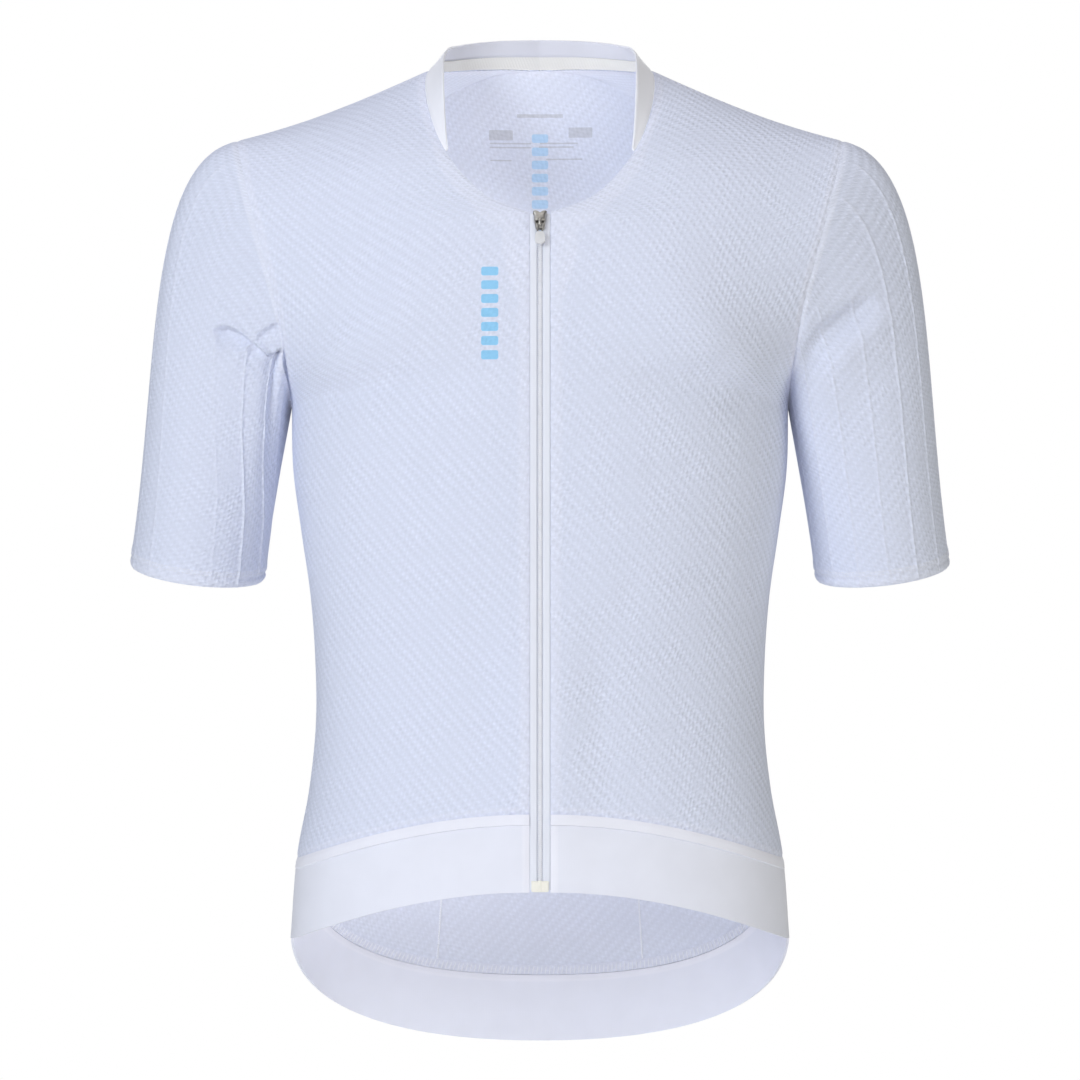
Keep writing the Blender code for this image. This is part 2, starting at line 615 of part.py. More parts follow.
mesh_knit = material("mesh_knit", (0.68, 0.71, 0.87), 0.85)
rib_knit = material("rib_knit", (0.66, 0.70, 0.86), 0.85)
smooth_knit = material("smooth_knit", (0.76, 0.78, 0.90), 0.6)
woven_tape = material("woven_tape", (0.72, 0.71, 0.69), 0.8)
zip_cloth = material("zip_cloth", (0.84, 0.86, 0.95), 0.7)
zip_plastic = material("zip_plastic", (0.8, 0.82, 0.9), 0.4)
gunmetal = material("gunmetal", (0.2, 0.19, 0.18), 0.35, 1.0)
clear_rubber = material("clear_rubber", (0.7, 0.7, 0.72), 0.3)
box_plastic = material("box_plastic", (0.8, 0.79, 0.74), 0.4)

front_panels(mesh_knit)
back_panel(mesh_knit)
sleeves(rib_knit)
hem_band(smooth_knit)
collar_and_tape(smooth_knit, woven_tape)
pockets(mesh_knit)
zip_fastener(zip_cloth, zip_plastic, gunmetal, clear_rubber, box_plastic)
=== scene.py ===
# Short-sleeved cycling jersey, hollow as it is worn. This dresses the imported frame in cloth, seams and zip.
import math
import bpy
import numpy as np
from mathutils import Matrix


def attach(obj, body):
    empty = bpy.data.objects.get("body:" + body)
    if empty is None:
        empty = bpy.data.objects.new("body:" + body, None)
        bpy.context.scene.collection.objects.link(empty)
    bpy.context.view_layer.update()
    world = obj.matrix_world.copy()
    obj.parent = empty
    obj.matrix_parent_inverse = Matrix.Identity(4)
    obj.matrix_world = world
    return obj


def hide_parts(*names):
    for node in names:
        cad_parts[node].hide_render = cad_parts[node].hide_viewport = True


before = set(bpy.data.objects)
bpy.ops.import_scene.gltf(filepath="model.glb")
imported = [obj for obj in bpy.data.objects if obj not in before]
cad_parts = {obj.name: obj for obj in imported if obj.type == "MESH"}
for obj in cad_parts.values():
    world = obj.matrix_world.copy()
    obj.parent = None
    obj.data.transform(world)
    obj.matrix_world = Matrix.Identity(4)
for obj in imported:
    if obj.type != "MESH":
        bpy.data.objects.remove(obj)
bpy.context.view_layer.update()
print("frame loaded,", len(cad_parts), "nodes")

mm = 0.001  # the tables and sizes are in millimetres
jersey, pullBody = "jersey", "zip_pull"


def linearColour(hexValue):
    # sRGB hex to the linear numbers that the shader takes
    parts = [int(hexValue[k:k + 2], 16) / 255 for k in (1, 3, 5)]
    return (*[c / 12.92 if c <= 0.04045 else ((c + 0.055) / 1.055) ** 2.4 for c in parts], 1)


def addNode(tree, kind, inputs=None, **settings):
    # one shader node, given as its kind and, where it has one, its operation; each input takes a value, the
    # socket that feeds it, or a node whose first output does
    kind, _, operation = kind.partition(" ")
    node = tree.nodes.new("ShaderNode" + kind)
    if operation:
        node.operation = operation
    for key, value in settings.items():
        setattr(node, key, value)
    for key, value in (inputs or {}).items():
        if isinstance(value, bpy.types.Node):
            value = value.outputs[0]
        if isinstance(value, bpy.types.NodeSocket):
            tree.links.new(value, node.inputs[key])
        else:
            node.inputs[key].default_value = value
    return node


studio = {"distance": 3.2, "level": -0.331, "lens": 148.15, "floor": -1.0, "floorRadius": 2.3, "fill": 0.165}
middle = (0, 0, -0.33)  # of the garment, which the studio lamps face
# name, place, aim, width, height, power in watts, colour
softLights = (
    ("keyLight", (-2.3, -3.0, 0.9), middle, 1.6, 1.6, 78, "#F9FDFF"),
    ("rightLight", (3.5, -0.8, 0.3), middle, 1.6, 1.6, 23, "#FFFCE4"),
    ("topLight", (0, -0.3, 3.0), middle, 1.6, 1.6, 30, "#FFFAFB"),
    ("highLight", (0, -2.4, 2.4), middle, 1.6, 1.6, 10, "#FFFFFF"),
    ("lowLight", (0.4, -2.55, -0.95), middle, 1.6, 0.6, 20, "#FFFAF4"),
    ("backLight", (0, 3.6, 0.5), middle, 2.2, 1.6, 75, "#FBFDFF"),
    # two small panels inside the body, which stand for the light that thin cloth lets through
    ("neckLight", (-0.09, -0.03, -0.25), (-0.08, 0.1, -0.17), 0.1, 0.1, 0.38, "#FFFAEA"),
    ("tailLight", (-0.09, 0.0, -0.46), (-0.12, 0.1, -0.62), 0.07, 0.07, 0.17, "#FFFAEE"),
)

cameraData = bpy.data.cameras.new("camera")
cameraData.lens = studio["lens"]
cameraData.clip_end = 60
camera = bpy.data.objects.new("camera", cameraData)
camera.location = (0, -studio["distance"], studio["level"])
camera.rotation_euler = (math.radians(90), 0, 0)
bpy.context.scene.collection.objects.link(camera)
bpy.context.scene.camera = camera
bpy.context.scene.view_settings.view_transform = "Standard"
bpy.context.scene.view_settings.look = "None"

for name, place, aim, width, height, power, colour in softLights:
    lamp = bpy.data.lights.new(name, "AREA")
    lamp.shape, lamp.size, lamp.size_y, lamp.energy = "RECTANGLE", width, height, power
    lamp.color = linearColour(colour)[:3]
    lampObject = bpy.data.objects.new(name, lamp)
    lampObject.location = place
    away = np.array(place) - np.array(aim)
    flat = math.hypot(away[0], away[1])
    lampObject.rotation_euler = (math.atan2(flat, away[2]), 0, math.atan2(away[0], -away[1]))
    lampObject.visible_camera = False
    bpy.context.scene.collection.objects.link(lampObject)

# white behind the object, and a much weaker fill from all round
world = bpy.data.worlds.new("whiteStudio")
world.use_nodes = True
sky = world.node_tree
behind = sky.nodes["Background"]
behind.inputs["Color"].default_value = (1, 1, 1, 1)
behind.inputs["Strength"].default_value = 1.0
around = addNode(sky, "Background", {"Color": (1, 1, 1, 1), "Strength": studio["fill"]})
rays = addNode(sky, "LightPath")
choice = addNode(sky, "MixShader", {0: rays.outputs["Is Camera Ray"], 1: around, 2: behind})
sky.links.new(choice.outputs[0], sky.nodes["World Output"].inputs["Surface"])
bpy.context.scene.world = world
print("studio lit")


# what all the knits share: the size of the drift and of the patches, how far the ridges' height and the
# colour vary from patch to patch, and how high a stitch must stand to get a painted highlight
knit = {"driftScale": 0.09, "patchScale": 0.04, "patches": (0.3, 0.7), "tension": (0.55, 1.35),
        "cloud": (0.988, 1.012), "stitchTops": (0.54, 0.74), "reliefInTops": 0.06}


def startMaterial(name, roughness, metallic=0.0, **sockets):
    made = bpy.data.materials.new(name)
    made.use_nodes = True
    shader = made.node_tree.nodes["Principled BSDF"]
    for key, value in dict(sockets, Roughness=roughness, Metallic=metallic).items():
        shader.inputs[key.replace("_", " ")].default_value = value
    return made, made.node_tree, shader


def waves(tree, place, ways):
    # sum of cosine ridges; each way is (cycles per mm across, cycles per mm up, height)
    total = 0.0
    for across, up, height in ways:
        turn = addNode(tree, "VectorMath DOT_PRODUCT",
                       {0: place, 1: (2 * math.pi * across, 2 * math.pi * up, 0)})
        ridge = addNode(tree, "Math COSINE", {0: turn.outputs["Value"]})
        total = addNode(tree, "Math MULTIPLY_ADD", {0: ridge, 1: height, 2: total})
    return total


def clothPlace(tree, wander):
    # the cloth's own map in millimetres, which wanders a little as real stitches do
    chart = addNode(tree, "UVMap", uv_map="cloth")
    flat = addNode(tree, "VectorMath MULTIPLY", {0: chart, 1: (1000, 1000, 0)})
    drift = addNode(tree, "TexNoise", {"Vector": flat, "Scale": knit["driftScale"], "Detail": 1.0},
                    noise_dimensions="2D")
    return flat, addNode(tree, "VectorMath MULTIPLY_ADD",
                         {0: drift.outputs["Color"], 1: (wander, wander, 0), 2: flat})


def printMask(tree, place, bars):
    # a column of rounded bars on the cloth's map
    (across, middle), (wide, high), corner = bars["middle"], bars["bar"], bars["corner"]
    run = bars["count"] * bars["pitch"]
    split = addNode(tree, "SeparateXYZ", {0: place})
    x = addNode(tree, "Math SUBTRACT", {0: split, 1: across})
    up = addNode(tree, "Math SUBTRACT", {0: split.outputs[1], 1: middle - run / 2})
    step = addNode(tree, "Math FLOORED_MODULO", {0: up, 1: bars["pitch"]})
    y = addNode(tree, "Math SUBTRACT", {0: step, 1: bars["pitch"] / 2})
    spot = addNode(tree, "CombineXYZ", {0: x, 1: y})
    folded = addNode(tree, "VectorMath ABSOLUTE", {0: spot})
    past = addNode(tree, "VectorMath SUBTRACT", {0: folded, 1: (wide / 2 - corner, high / 2 - corner, 0)})
    outside = addNode(tree, "VectorMath MAXIMUM", {0: past, 1: (0, 0, 0)})
    away = addNode(tree, "VectorMath LENGTH", {0: outside})
    inside = addNode(tree, "MapRange", {"Value": away.outputs["Value"], "From Min": corner - 0.1,
                                        "From Max": corner + 0.1, "To Min": bars["strength"], "To Max": 0})
    above = addNode(tree, "Math GREATER_THAN", {0: up, 1: 0})
    below = addNode(tree, "Math LESS_THAN", {0: up, 1: run})
    within = addNode(tree, "Math MULTIPLY", {0: above, 1: below})
    return addNode(tree, "Math MULTIPLY", {0: inside, 1: within})


def spread(value, before, after):
    # the inputs of a Map Range node
    return {"Value": value, "From Min": before[0], "From Max": before[1], "To Min": after[0],
            "To Max": after[1]}


def knitMaterial(name, look, prints=()):
    made, tree, shader = startMaterial(name, look["roughness"], Sheen_Weight=look["sheen"],
                                       Sheen_Roughness=0.5, Specular_IOR_Level=0.25)
    flat, place = clothPlace(tree, look["wander"])
    relief = waves(tree, place, look["ways"])
    yarn = addNode(tree, "TexNoise", {"Vector": place, "Scale": look["yarn"], "Detail": 2.0},
                   noise_dimensions="2D")
    patchy = addNode(tree, "TexNoise", {"Vector": flat, "Scale": knit["patchScale"], "Detail": 2.0},
                     noise_dimensions="2D")
    # uneven tension: the ridges are stronger in one place than in the next
    tension = addNode(tree, "MapRange", spread(patchy, knit["patches"], knit["tension"]))
    ridges = addNode(tree, "Math MULTIPLY", {0: relief, 1: tension})
    grain = addNode(tree, "Math MULTIPLY_ADD", {0: yarn, 1: look["grain"], 2: ridges})
    # painted highlight: the tops of some stitches are painted brighter, as small specks that stand for the
    # light they catch
    scale, strength = look["glintSpecks"]
    glintSpecks = addNode(tree, "TexNoise", {"Vector": place, "Scale": scale, "Detail": 1.0},
                     noise_dimensions="2D")
    tops = addNode(tree, "Math MULTIPLY_ADD", {0: relief, 1: knit["reliefInTops"], 2: glintSpecks})
    paintedGlint = addNode(tree, "MapRange", spread(tops, knit["stitchTops"], (1.0, 1.0 + strength)))
    # thin cloth is whiter where it lies double; along the sleeve ribs this whitening is also a painted
    # highlight on each crest
    double = addNode(tree, "Attribute", attribute_name="double")
    body = addNode(tree, "Mix", {"Factor": double.outputs["Fac"], 6: linearColour(look["single"]),
                                 7: linearColour(look["double"])}, data_type="RGBA")
    tone = addNode(tree, "Math MULTIPLY_ADD",
                   {0: grain, 1: look["contrast"], 2: 1.0 - look["contrast"] * look["grain"] / 2})
    cloud = addNode(tree, "MapRange", spread(patchy, knit["patches"], knit["cloud"]))
    lit = addNode(tree, "Math MULTIPLY", {0: tone, 1: paintedGlint})
    both = addNode(tree, "Math MULTIPLY", {0: lit, 1: cloud})
    colour = addNode(tree, "VectorMath MULTIPLY", {0: body.outputs[2], 1: both}).outputs[0]
    for bars in prints:
        colour = addNode(tree, "Mix", {"Factor": printMask(tree, flat, bars), 6: colour,
                                       7: linearColour(bars["colour"])}, data_type="RGBA").outputs[2]
    tree.links.new(colour, shader.inputs["Base Color"])
    bump = addNode(tree, "Bump", {"Strength": look["bump"], "Distance": look["depth"] * mm, "Height": grain})
    tree.links.new(bump.outputs[0], shader.inputs["Normal"])
    return made


# the knit's repeat: diagonals 6.5 mm apart that fall to the right, crossed by nearly level rows 3.3 mm apart
meshWays = ((0.1115, 0.1079, 1.0), (0.0755, -0.295, 0.65), (0.2985, -0.0792, 0.55))
ribWays = ((0.104, 0.115, 0.8), (0.095, -0.289, 0.75), (0.303, -0.059, 0.5))

# light polyester mesh knit: matt, with small tuck stitches that get painted highlights
meshLook = {"single": "#D5DBEF", "double": "#D9DEF1", "ways": meshWays, "wander": 2.4, "yarn": 0.9,
            "grain": 1.2, "contrast": 0.025, "glintSpecks": (0.8, 0.05), "bump": 0.46, "depth": 0.35,
            "roughness": 0.85, "sheen": 0.05}
# smooth warp knit of the band and the collar: closed, fine and a little silky
smoothLook = {"single": "#E2E5F3", "double": "#E7E9F6", "ways": ((0.0, 0.9, 0.5), (0.55, 0.0, 0.4)),
              "wander": 1.0, "yarn": 1.4, "grain": 0.5, "contrast": 0.006, "glintSpecks": (1.2, 0.0), "bump": 0.15,
              "depth": 0.1, "roughness": 0.6, "sheen": 0.25}
# close woven polyester zip tape: brighter than the knit, with fine cords along its length
tapeLook = {"single": "#E0E4F1", "double": "#E2E6F2", "ways": ((0.8, 0, 0.8), (0, 0.7, 0.5)), "wander": 0.2,
            "yarn": 1.4, "grain": 0.5, "contrast": 0.01, "glintSpecks": (1.2, 0.01), "bump": 0.2, "depth": 0.12,
            "roughness": 0.7, "sheen": 0.1}

# generic dashes in the place of the print, on the right breast and down from the back of the neck
dashes = {"bar": (12.0, 6.4), "corner": 1.6, "pitch": 9.9, "strength": 0.9, "colour": "#86C8F2"}
backDashes = dict(dashes, middle=(400, 737), count=8)
meshKnit = knitMaterial("meshKnit", meshLook)
meshKnitDashed = knitMaterial("meshKnitDashed", meshLook, (dict(dashes, middle=(365, 628), count=7),))
meshKnitBack = knitMaterial("meshKnitBack", meshLook, (backDashes,))
# the inside of the same knit: flatter and a little duller
insideLook = dict(meshLook, single="#D5DAEB", double="#D9DDED", bump=0.22, contrast=0.018)
# plain soft bars in the place of the size label: (width, height, across, up from the label's middle)
labelBar = {"corner": 0.5, "pitch": 30.0, "count": 1, "strength": 0.42, "colour": "#A3A4A9"}
labelBars = [dict(labelBar, bar=(wide, high), middle=(400 + across, 774 + up))
             for wide, high, across, up in ((17.8, 7.6, 29, 0), (17.8, 7.6, -30, 2), (34, 2.6, 0, 14.5),
                                            (31, 1.1, 22, -6.2), (28, 1.1, -14, -6.0), (31, 1.1, 22, -9.2),
                                            (26, 1.1, -12, -8.8), (16, 1.1, 29, -19), (27, 1.1, -18, -18))]
meshKnitInside = knitMaterial("meshKnitInside", insideLook, [dict(backDashes, strength=0.5)] + labelBars)
# the inside of the fronts, with nothing printed on it
meshKnitReverse = knitMaterial("meshKnitReverse", insideLook)
# the sleeves' rib knit: the same yarn, with its repeat turned a little
ribKnit = knitMaterial("ribKnit", dict(meshLook, single="#D3D9ED", double="#D9DEF0", ways=ribWays))
smoothKnit = knitMaterial("smoothKnit", smoothLook)
# the collar is the same knit, whiter because it is two layers folded over
collarKnit = knitMaterial("collarKnit", dict(smoothLook, single="#F0F2FC", double="#F0F2FC"))
# its inner layer, the same yarn in a duller shade
collarLining = knitMaterial("collarLining", dict(smoothLook, single="#D2D4E1", double="#D2D4E1"))
# neck tape: woven polyester with a fine twill line
tapeTwill = knitMaterial("tapeTwill", dict(tapeLook, single="#DEDEDF", double="#E2E2E3", wander=0.3, yarn=1.2,
                                           ways=((0.45, 0.45, 1.0), (0.9, 0, 0.4)), grain=0.6, depth=0.15,
                                           roughness=0.75))
zipTape = knitMaterial("zipTape", tapeLook)


def plainMaterial(name, dark, light, scale, bumpStrength, roughness, metallic=0.0, **sockets):
    # a moulded, cast or spun finish with faint mottling, on the piece's own place
    made, tree, shader = startMaterial(name, roughness, metallic, **sockets)
    place = addNode(tree, "TexCoord").outputs["Object"]
    mottle = addNode(tree, "TexNoise", {"Vector": place, "Scale": scale, "Detail": 3.0})
    colour = addNode(tree, "Mix", {"Factor": mottle, 6: linearColour(dark), 7: linearColour(light)},
                     data_type="RGBA")
    tree.links.new(colour.outputs[2], shader.inputs["Base Color"])
    rough = addNode(tree, "MapRange", spread(mottle, knit["patches"], (roughness * 0.85, roughness * 1.15)))
    tree.links.new(rough.outputs[0], shader.inputs["Roughness"])
    bump = addNode(tree, "Bump", {"Strength": bumpStrength, "Distance": 0.05 * mm, "Height": mottle})
    tree.links.new(bump.outputs[0], shader.inputs["Normal"])
    return made


# each with its dark and its light shade, how fine its mottling is, how strongly that stands out, and its
# roughness
# spun polyester thread, the same white as the band
sewingThread = plainMaterial("sewingThread", "#D3D6E4", "#E2E5F0", 2500, 0.3, 0.6)
# textured polyester of the overlock and of the covered pocket seams, fluffed up and whiter
loopThread = plainMaterial("loopThread", "#E0E4F1", "#EAEDF7", 2500, 0.3, 0.7)
# acetal teeth, bright white and slightly glossy
toothPlastic = plainMaterial("toothPlastic", "#DFE2EC", "#EAECF4", 900, 0.1, 0.4)
# die-cast zinc with a dark nickel plate, worn slightly lighter in patches
gunmetalPlate = plainMaterial("gunmetalPlate", "#8F8C87", "#C2BFBA", 900, 0.2, 0.38, metallic=1.0)
# clear soft PVC, a little cloudy
clearRubber = plainMaterial("clearRubber", "#EBECF1", "#F3F4F7", 300, 0.1, 0.35, Transmission_Weight=0.35,
                            IOR=1.5)
# ivory acetal of the retainer box
boxPlastic = plainMaterial("boxPlastic", "#E8E7DF", "#F1F0EA", 500, 0.1, 0.42)
# painted studio floor
paleFloor = plainMaterial("paleFloor", "#F6F6F6", "#FAFAFA", 3, 0.0, 0.9)
print("materials made")


# the form of the garment, worked out for whole grids at once
# one row for each section, from the front hem over the shoulder to the back hem: x, y, z of the inner end,
# x, y, z of the outer end, heading there, how square, how soon it leaves its inner height, sweep
bodyRows = np.array((
    (7.3, -112, -576, 179.5, 0, -617, 90, 0.57, 0, 0),
    (7.3, -109, -522, 175, 0, -559, 90, 0.57, 0, 0),
    (7.3, -106, -478, 166.3, 0, -511, 90, 0.57, 0, 0),
    (7.3, -104.5, -434, 161.5, 0, -464, 90, 0.57, 0, 0),
    (7.3, -105, -390, 161.8, 0, -418, 90, 0.58, 0, 0),
    (7.3, -108, -346, 165, 0, -372, 90, 0.59, 0, 0),
    (7.3, -112, -302, 171.5, 0, -326, 90, 0.6, 0, 0),
    (7.3, -114.5, -258, 177.5, 0, -280, 90, 0.6, 0, 0),
    (7.3, -114, -215, 178.5, 0, -235, 90, 0.6, 0, 0),
    (7.3, -110.5, -176, 180.5, -42, -207, 60, 0.58, 0, 0),
    (7.3, -103, -138, 186, -59, -169, 34, 0.55, 0, 0.1),
    (7.3, -92, -101.5, 195, -58, -132, 22, 0.5, 0, 0.2),
    (40, -84, -87, 204, -50, -99, 18, 0.45, 0.5, 0.3),
    (67, -65, -56, 211, -34, -71, 14, 0.4, 0.9, 0.3),
    (80.5, -27, -21, 216.5, -12, -48.5, 6, 0.37, 1.1, 0.27),
    (82, 14, 7, 218.5, 14, -43, -2, 0.35, 1.2, 0.26),
    (67, 40.5, 11.5, 216.5, 38, -52, -10, 0.37, 1, 0.27),
    (37, 56, 14, 211, 57, -76, -18, 0.42, 0.6, 0.3),
    (0, 61, 14, 203, 66, -111, -24, 0.48, 0, 0.3),
    (0, 74, -28, 194.5, 68, -145, -30, 0.52, 0, 0.3),
    (0, 87, -72, 186, 62, -180, -42, 0.56, 0, 0.3),
    (0, 97, -118, 180.5, 40, -214, -64, 0.58, 0, 0.3),
    (0, 104, -166, 178.5, 0, -235, -90, 0.6, 0, 0.25),
    (0, 107, -232, 177.5, 0, -280, -90, 0.6, 0, 0.1),
    (0, 101, -300, 171.5, 0, -326, -90, 0.59, 0, 0),
    (0, 91, -370, 165, 0, -372, -90, 0.58, 0, 0),
    (0, 83, -440, 161.8, 0, -418, -90, 0.57, 0, 0.2),
    (0, 84, -511, 161.5, 0, -464, -90, 0.57, 0, 0.4),
    (0, 95, -583, 166.3, 0, -511, -90, 0.58, 0, 0.6),
    (0, 106, -654, 175, 0, -559, -90, 0.59, 0, 0.76),
    (0, 111, -703.5, 179.5, 0, -617, -90, 0.59, 0, 0.68)), float)
frontHem, frontBand, underarm, neckFoot, collarTip, shoulder = 0, 1, 8, 11, 13, 15
backNeck, backUnderarm, backBand, backHem = 18, 22, 29, 30


def slopes(rows, corners):
    # how fast a smooth curve leaves and reaches each row; it turns sharply at the corner rows
    step, middle = np.diff(rows, axis=0), (rows[2:] - rows[:-2]) / 2
    leave, arrive = step.copy(), step.copy()
    leave[1:], arrive[:-1] = middle, middle
    for k in corners:
        leave[k], arrive[k - 1] = step[k], step[k - 1]
    return leave, arrive


def tableCurve(rows, both, t):
    t = np.asarray(t, float)
    k = np.clip(t.astype(int), 0, len(rows) - 2)
    s = (t - k)[..., None]
    leave, arrive = both
    return (rows[k] * (2 * s**3 - 3 * s**2 + 1) + leave[k] * (s**3 - 2 * s**2 + s)
            + rows[k + 1] * (3 * s**2 - 2 * s**3) + arrive[k] * (s**3 - s**2))


innerSlopes = slopes(bodyRows, (neckFoot, backNeck))
outerSlopes = slopes(bodyRows, (underarm, backUnderarm))
plainSlopes = slopes(bodyRows, ())
bodySlopes = [np.concatenate((a[:, :3], b[:, 3:7], c[:, 7:]), axis=1)
              for a, b, c in zip(innerSlopes, outerSlopes, plainSlopes)]


def unit(v):
    return v / np.maximum(np.linalg.norm(v, axis=-1, keepdims=True), 1e-9)


def smooth(x):
    x = np.clip(x, 0, 1)
    return x * x * (3 - 2 * x)


def bodyCurve(t):
    # the four control points of the section at each row position
    row = tableCurve(bodyRows, bodySlopes, t)
    start, end = row[..., 0:3], row[..., 3:6]
    turn, full, slope, sweep = np.radians(row[..., 6]), row[..., 7], row[..., 8], row[..., 9]
    span, none = end - start, np.zeros_like(turn)
    leave = start + np.stack((full * span[..., 0], none, full * slope * span[..., 2]), -1)
    reach = full * (span[..., 0] * np.cos(turn) + np.abs(span[..., 1] * np.sin(turn)))
    arrive = end - np.stack((np.cos(turn), np.sin(turn), none), -1) * reach[..., None]
    arrive[..., 2] = end[..., 2] - sweep * span[..., 2]
    return np.stack((start, leave, arrive, end))


def bezier(c, s):
    return c[0] * (1 - s)**3 + c[1] * 3 * s * (1 - s)**2 + c[2] * 3 * s**2 * (1 - s) + c[3] * s**3


# a crease narrower than sharp above its line is a sharp fold: the line is its crest, which stands up as a
# lip, with the trough close under it. ends is how far a crease keeps its depth towards its two ends
fold = {"sharp": 4, "trough": 2.2, "lip": 0.26, "lipPlace": 0.3, "lipWidth": 1.1, "ends": 1.15, "slant": 0.3}


def creaseDepth(points, ways, creases):
    # how far the creases push the cloth in. Each is (face, line of x and z, width above, width below, depth);
    # face is -1 for the front and 1 for the back, and a depth below 0 is a ridge
    depth = np.zeros(points.shape[:-1])
    spot = points[..., [0, 2]]
    for face, line, above, below, deep in creases:
        line = np.array(line, float)
        runs = np.linalg.norm(np.diff(line, axis=0), axis=1)
        before, whole = np.concatenate(((0,), np.cumsum(runs))), runs.sum()
        best, side, share = np.full(depth.shape, 1e9), np.zeros(depth.shape), np.zeros(depth.shape)
        for k in range(len(runs)):
            along = (line[k + 1] - line[k]) / runs[k]
            offset = spot - line[k]
            at = np.clip(offset @ along, 0, runs[k])
            gap = offset - at[..., None] * along
            far = np.linalg.norm(gap, axis=-1)
            near = far < best
            best = np.where(near, far, best)
            upper = gap[..., 1] + fold["slant"] * gap[..., 0] * np.sign(-along[1] * along[0])
            side = np.where(near, upper, side)
            share = np.where(near, (before[k] + at) / whole, share)
        ends = np.clip(fold["ends"] - np.abs(2 * share - 1)**3, 0, 1)
        if above < fold["sharp"]:
            rise = np.where(side > 0, best, -best)
            under = rise + fold["trough"] * above
            lip = np.exp(-((rise - fold["lipPlace"] * above) / (fold["lipWidth"] * above))**2)
            shape = np.exp(-(under / np.where(under > 0, above, below))**2) - fold["lip"] * lip
        else:
            shape = np.exp(-(best / np.where(side > 0, above, below))**2)
        depth += deep * ends * np.clip(face * ways[..., 1], 0, 1) * shape
    return depth


bodyCreases = (
    (-1, ((-190, -446), (0, -440), (190, -446)), 55, 110, 7.0),
    (-1, ((-132, -211), (-108, -219.6), (-79.5, -224.3), (-59, -219.6), (-38, -210)), 11, 15, 1.5),
    (-1, ((62, -214), (80, -220.3), (100, -222.2), (122, -213.3), (152, -190)), 11, 15, 1.4),
    (-1, ((-106, -278.6), (-83.7, -280.7), (-63, -278.6)), 6, 12, 0.9),
    (-1, ((70, -278.6), (95.8, -282.7), (110, -276)), 6, 12, 0.9),
    (-1, ((52, -342), (64.5, -356), (60, -376), (54, -396)), 10, 12, 0.8),
    (-1, ((-66, -352), (-94, -368), (-118, -372)), 11, 14, 0.6),
    (-1, ((100, -352), (124, -362), (146, -388)), 10, 12, 0.7),
    (-1, ((44, -492), (62, -500), (84, -502)), 9, 12, 0.8),
    (-1, ((-40, -500), (-70, -512), (-104, -520)), 10, 12, 0.6),
    (-1, ((-168, -214), (-150, -228), (-128, -232)), 8, 12, 1.2),
    (-1, ((168, -208), (150, -226), (132, -246)), 8, 12, 1.4),
    (-1, ((-172, -250), (-156, -272), (-146, -300)), 9, 12, 0.8),
    (1, ((-122, -296), (-80, -312), (-28, -338)), 13, 18, 2.6),
    (1, ((114, -312), (80, -330), (38, -346)), 13, 18, 2.2),
    (1, ((-97, -372), (-50, -384), (-8, -392)), 11, 16, 2.0),
    (1, ((102, -380), (66, -392), (28, -402)), 11, 16, 2.4),
    (1, ((-150, -236), (-128, -262), (-112, -292)), 8, 12, 1.3),
    (1, ((152, -232), (134, -252), (104, -268)), 8, 12, 1.4),
    (1, ((-60, -128), (-20, -140), (34, -134)), 10, 14, 0.9),
    (1, ((-130, -430), (-100, -440), (-74, -438)), 7, 10, 1.0),
    (1, ((70, -446), (104, -452), (138, -440)), 7, 10, 1.1),
)


def bodySurface(t, u, out=0.0, creased=True):
    # points of the body's outer face and the way out of the cloth. u runs from 0 at the centre line or the
    # neckline to 1 at the side seam or armhole, and below 0 on the wearer's right
    t, u = np.broadcast_arrays(np.asarray(t, float), np.asarray(u, float))
    s = np.abs(u)[..., None]
    curve = bodyCurve(t)
    points = bezier(curve, s)
    low, high = np.clip(t - 0.2, 0, backHem), np.clip(t + 0.2, 0, backHem)
    along = bezier(bodyCurve(high), s) - bezier(bodyCurve(low), s)
    across = ((curve[1] - curve[0]) * (1 - s)**2 + (curve[2] - curve[1]) * 2 * s * (1 - s)
              + (curve[3] - curve[2]) * s**2)
    ways = unit(np.cross(across, along))
    flip = np.where(u < 0, -1.0, 1.0)
    points[..., 0] *= flip
    ways[..., 0] *= flip
    if creased:
        # the cloth stays flat beside the zip
        flat = np.where(ways[..., 1] < 0, smooth((np.abs(points[..., 0]) - 8) / 40), 1)
        points = points - ways * (flat * creaseDepth(points, ways, bodyCreases))[..., None]
    return points + ways * out, ways


def steps(*runs):
    # positions along a grid, given as (end, how many steps to get there) after the first value
    made = [runs[0]]
    for end, count in runs[1:]:
        made += list(np.linspace(made[-1], end, count + 1)[1:])
    return np.array(made)


def lengths(points, axis):
    # distance along the grid lines from their start
    step = np.linalg.norm(np.diff(points, axis=axis), axis=-1)
    shape = list(step.shape)
    shape[axis] = 1
    return np.concatenate((np.zeros(shape), np.cumsum(step, axis=axis)), axis=axis)


def groove(distance, depth, width):
    return depth * np.exp(-(distance / width)**2)


def meshFrom(name, points, faces, corners, double):
    mesh = bpy.data.meshes.new(name)
    mesh.from_pydata((points * mm).tolist(), [], faces.tolist())
    chart = mesh.uv_layers.new(name="cloth")
    chart.data.foreach_set("uv", (corners * mm).ravel().astype(np.float32))
    layer = mesh.attributes.new("double", "FLOAT", "POINT")
    layer.data.foreach_set("value", double.ravel().astype(np.float32))
    made = bpy.data.objects.new(name, mesh)
    bpy.context.scene.collection.objects.link(made)
    return made


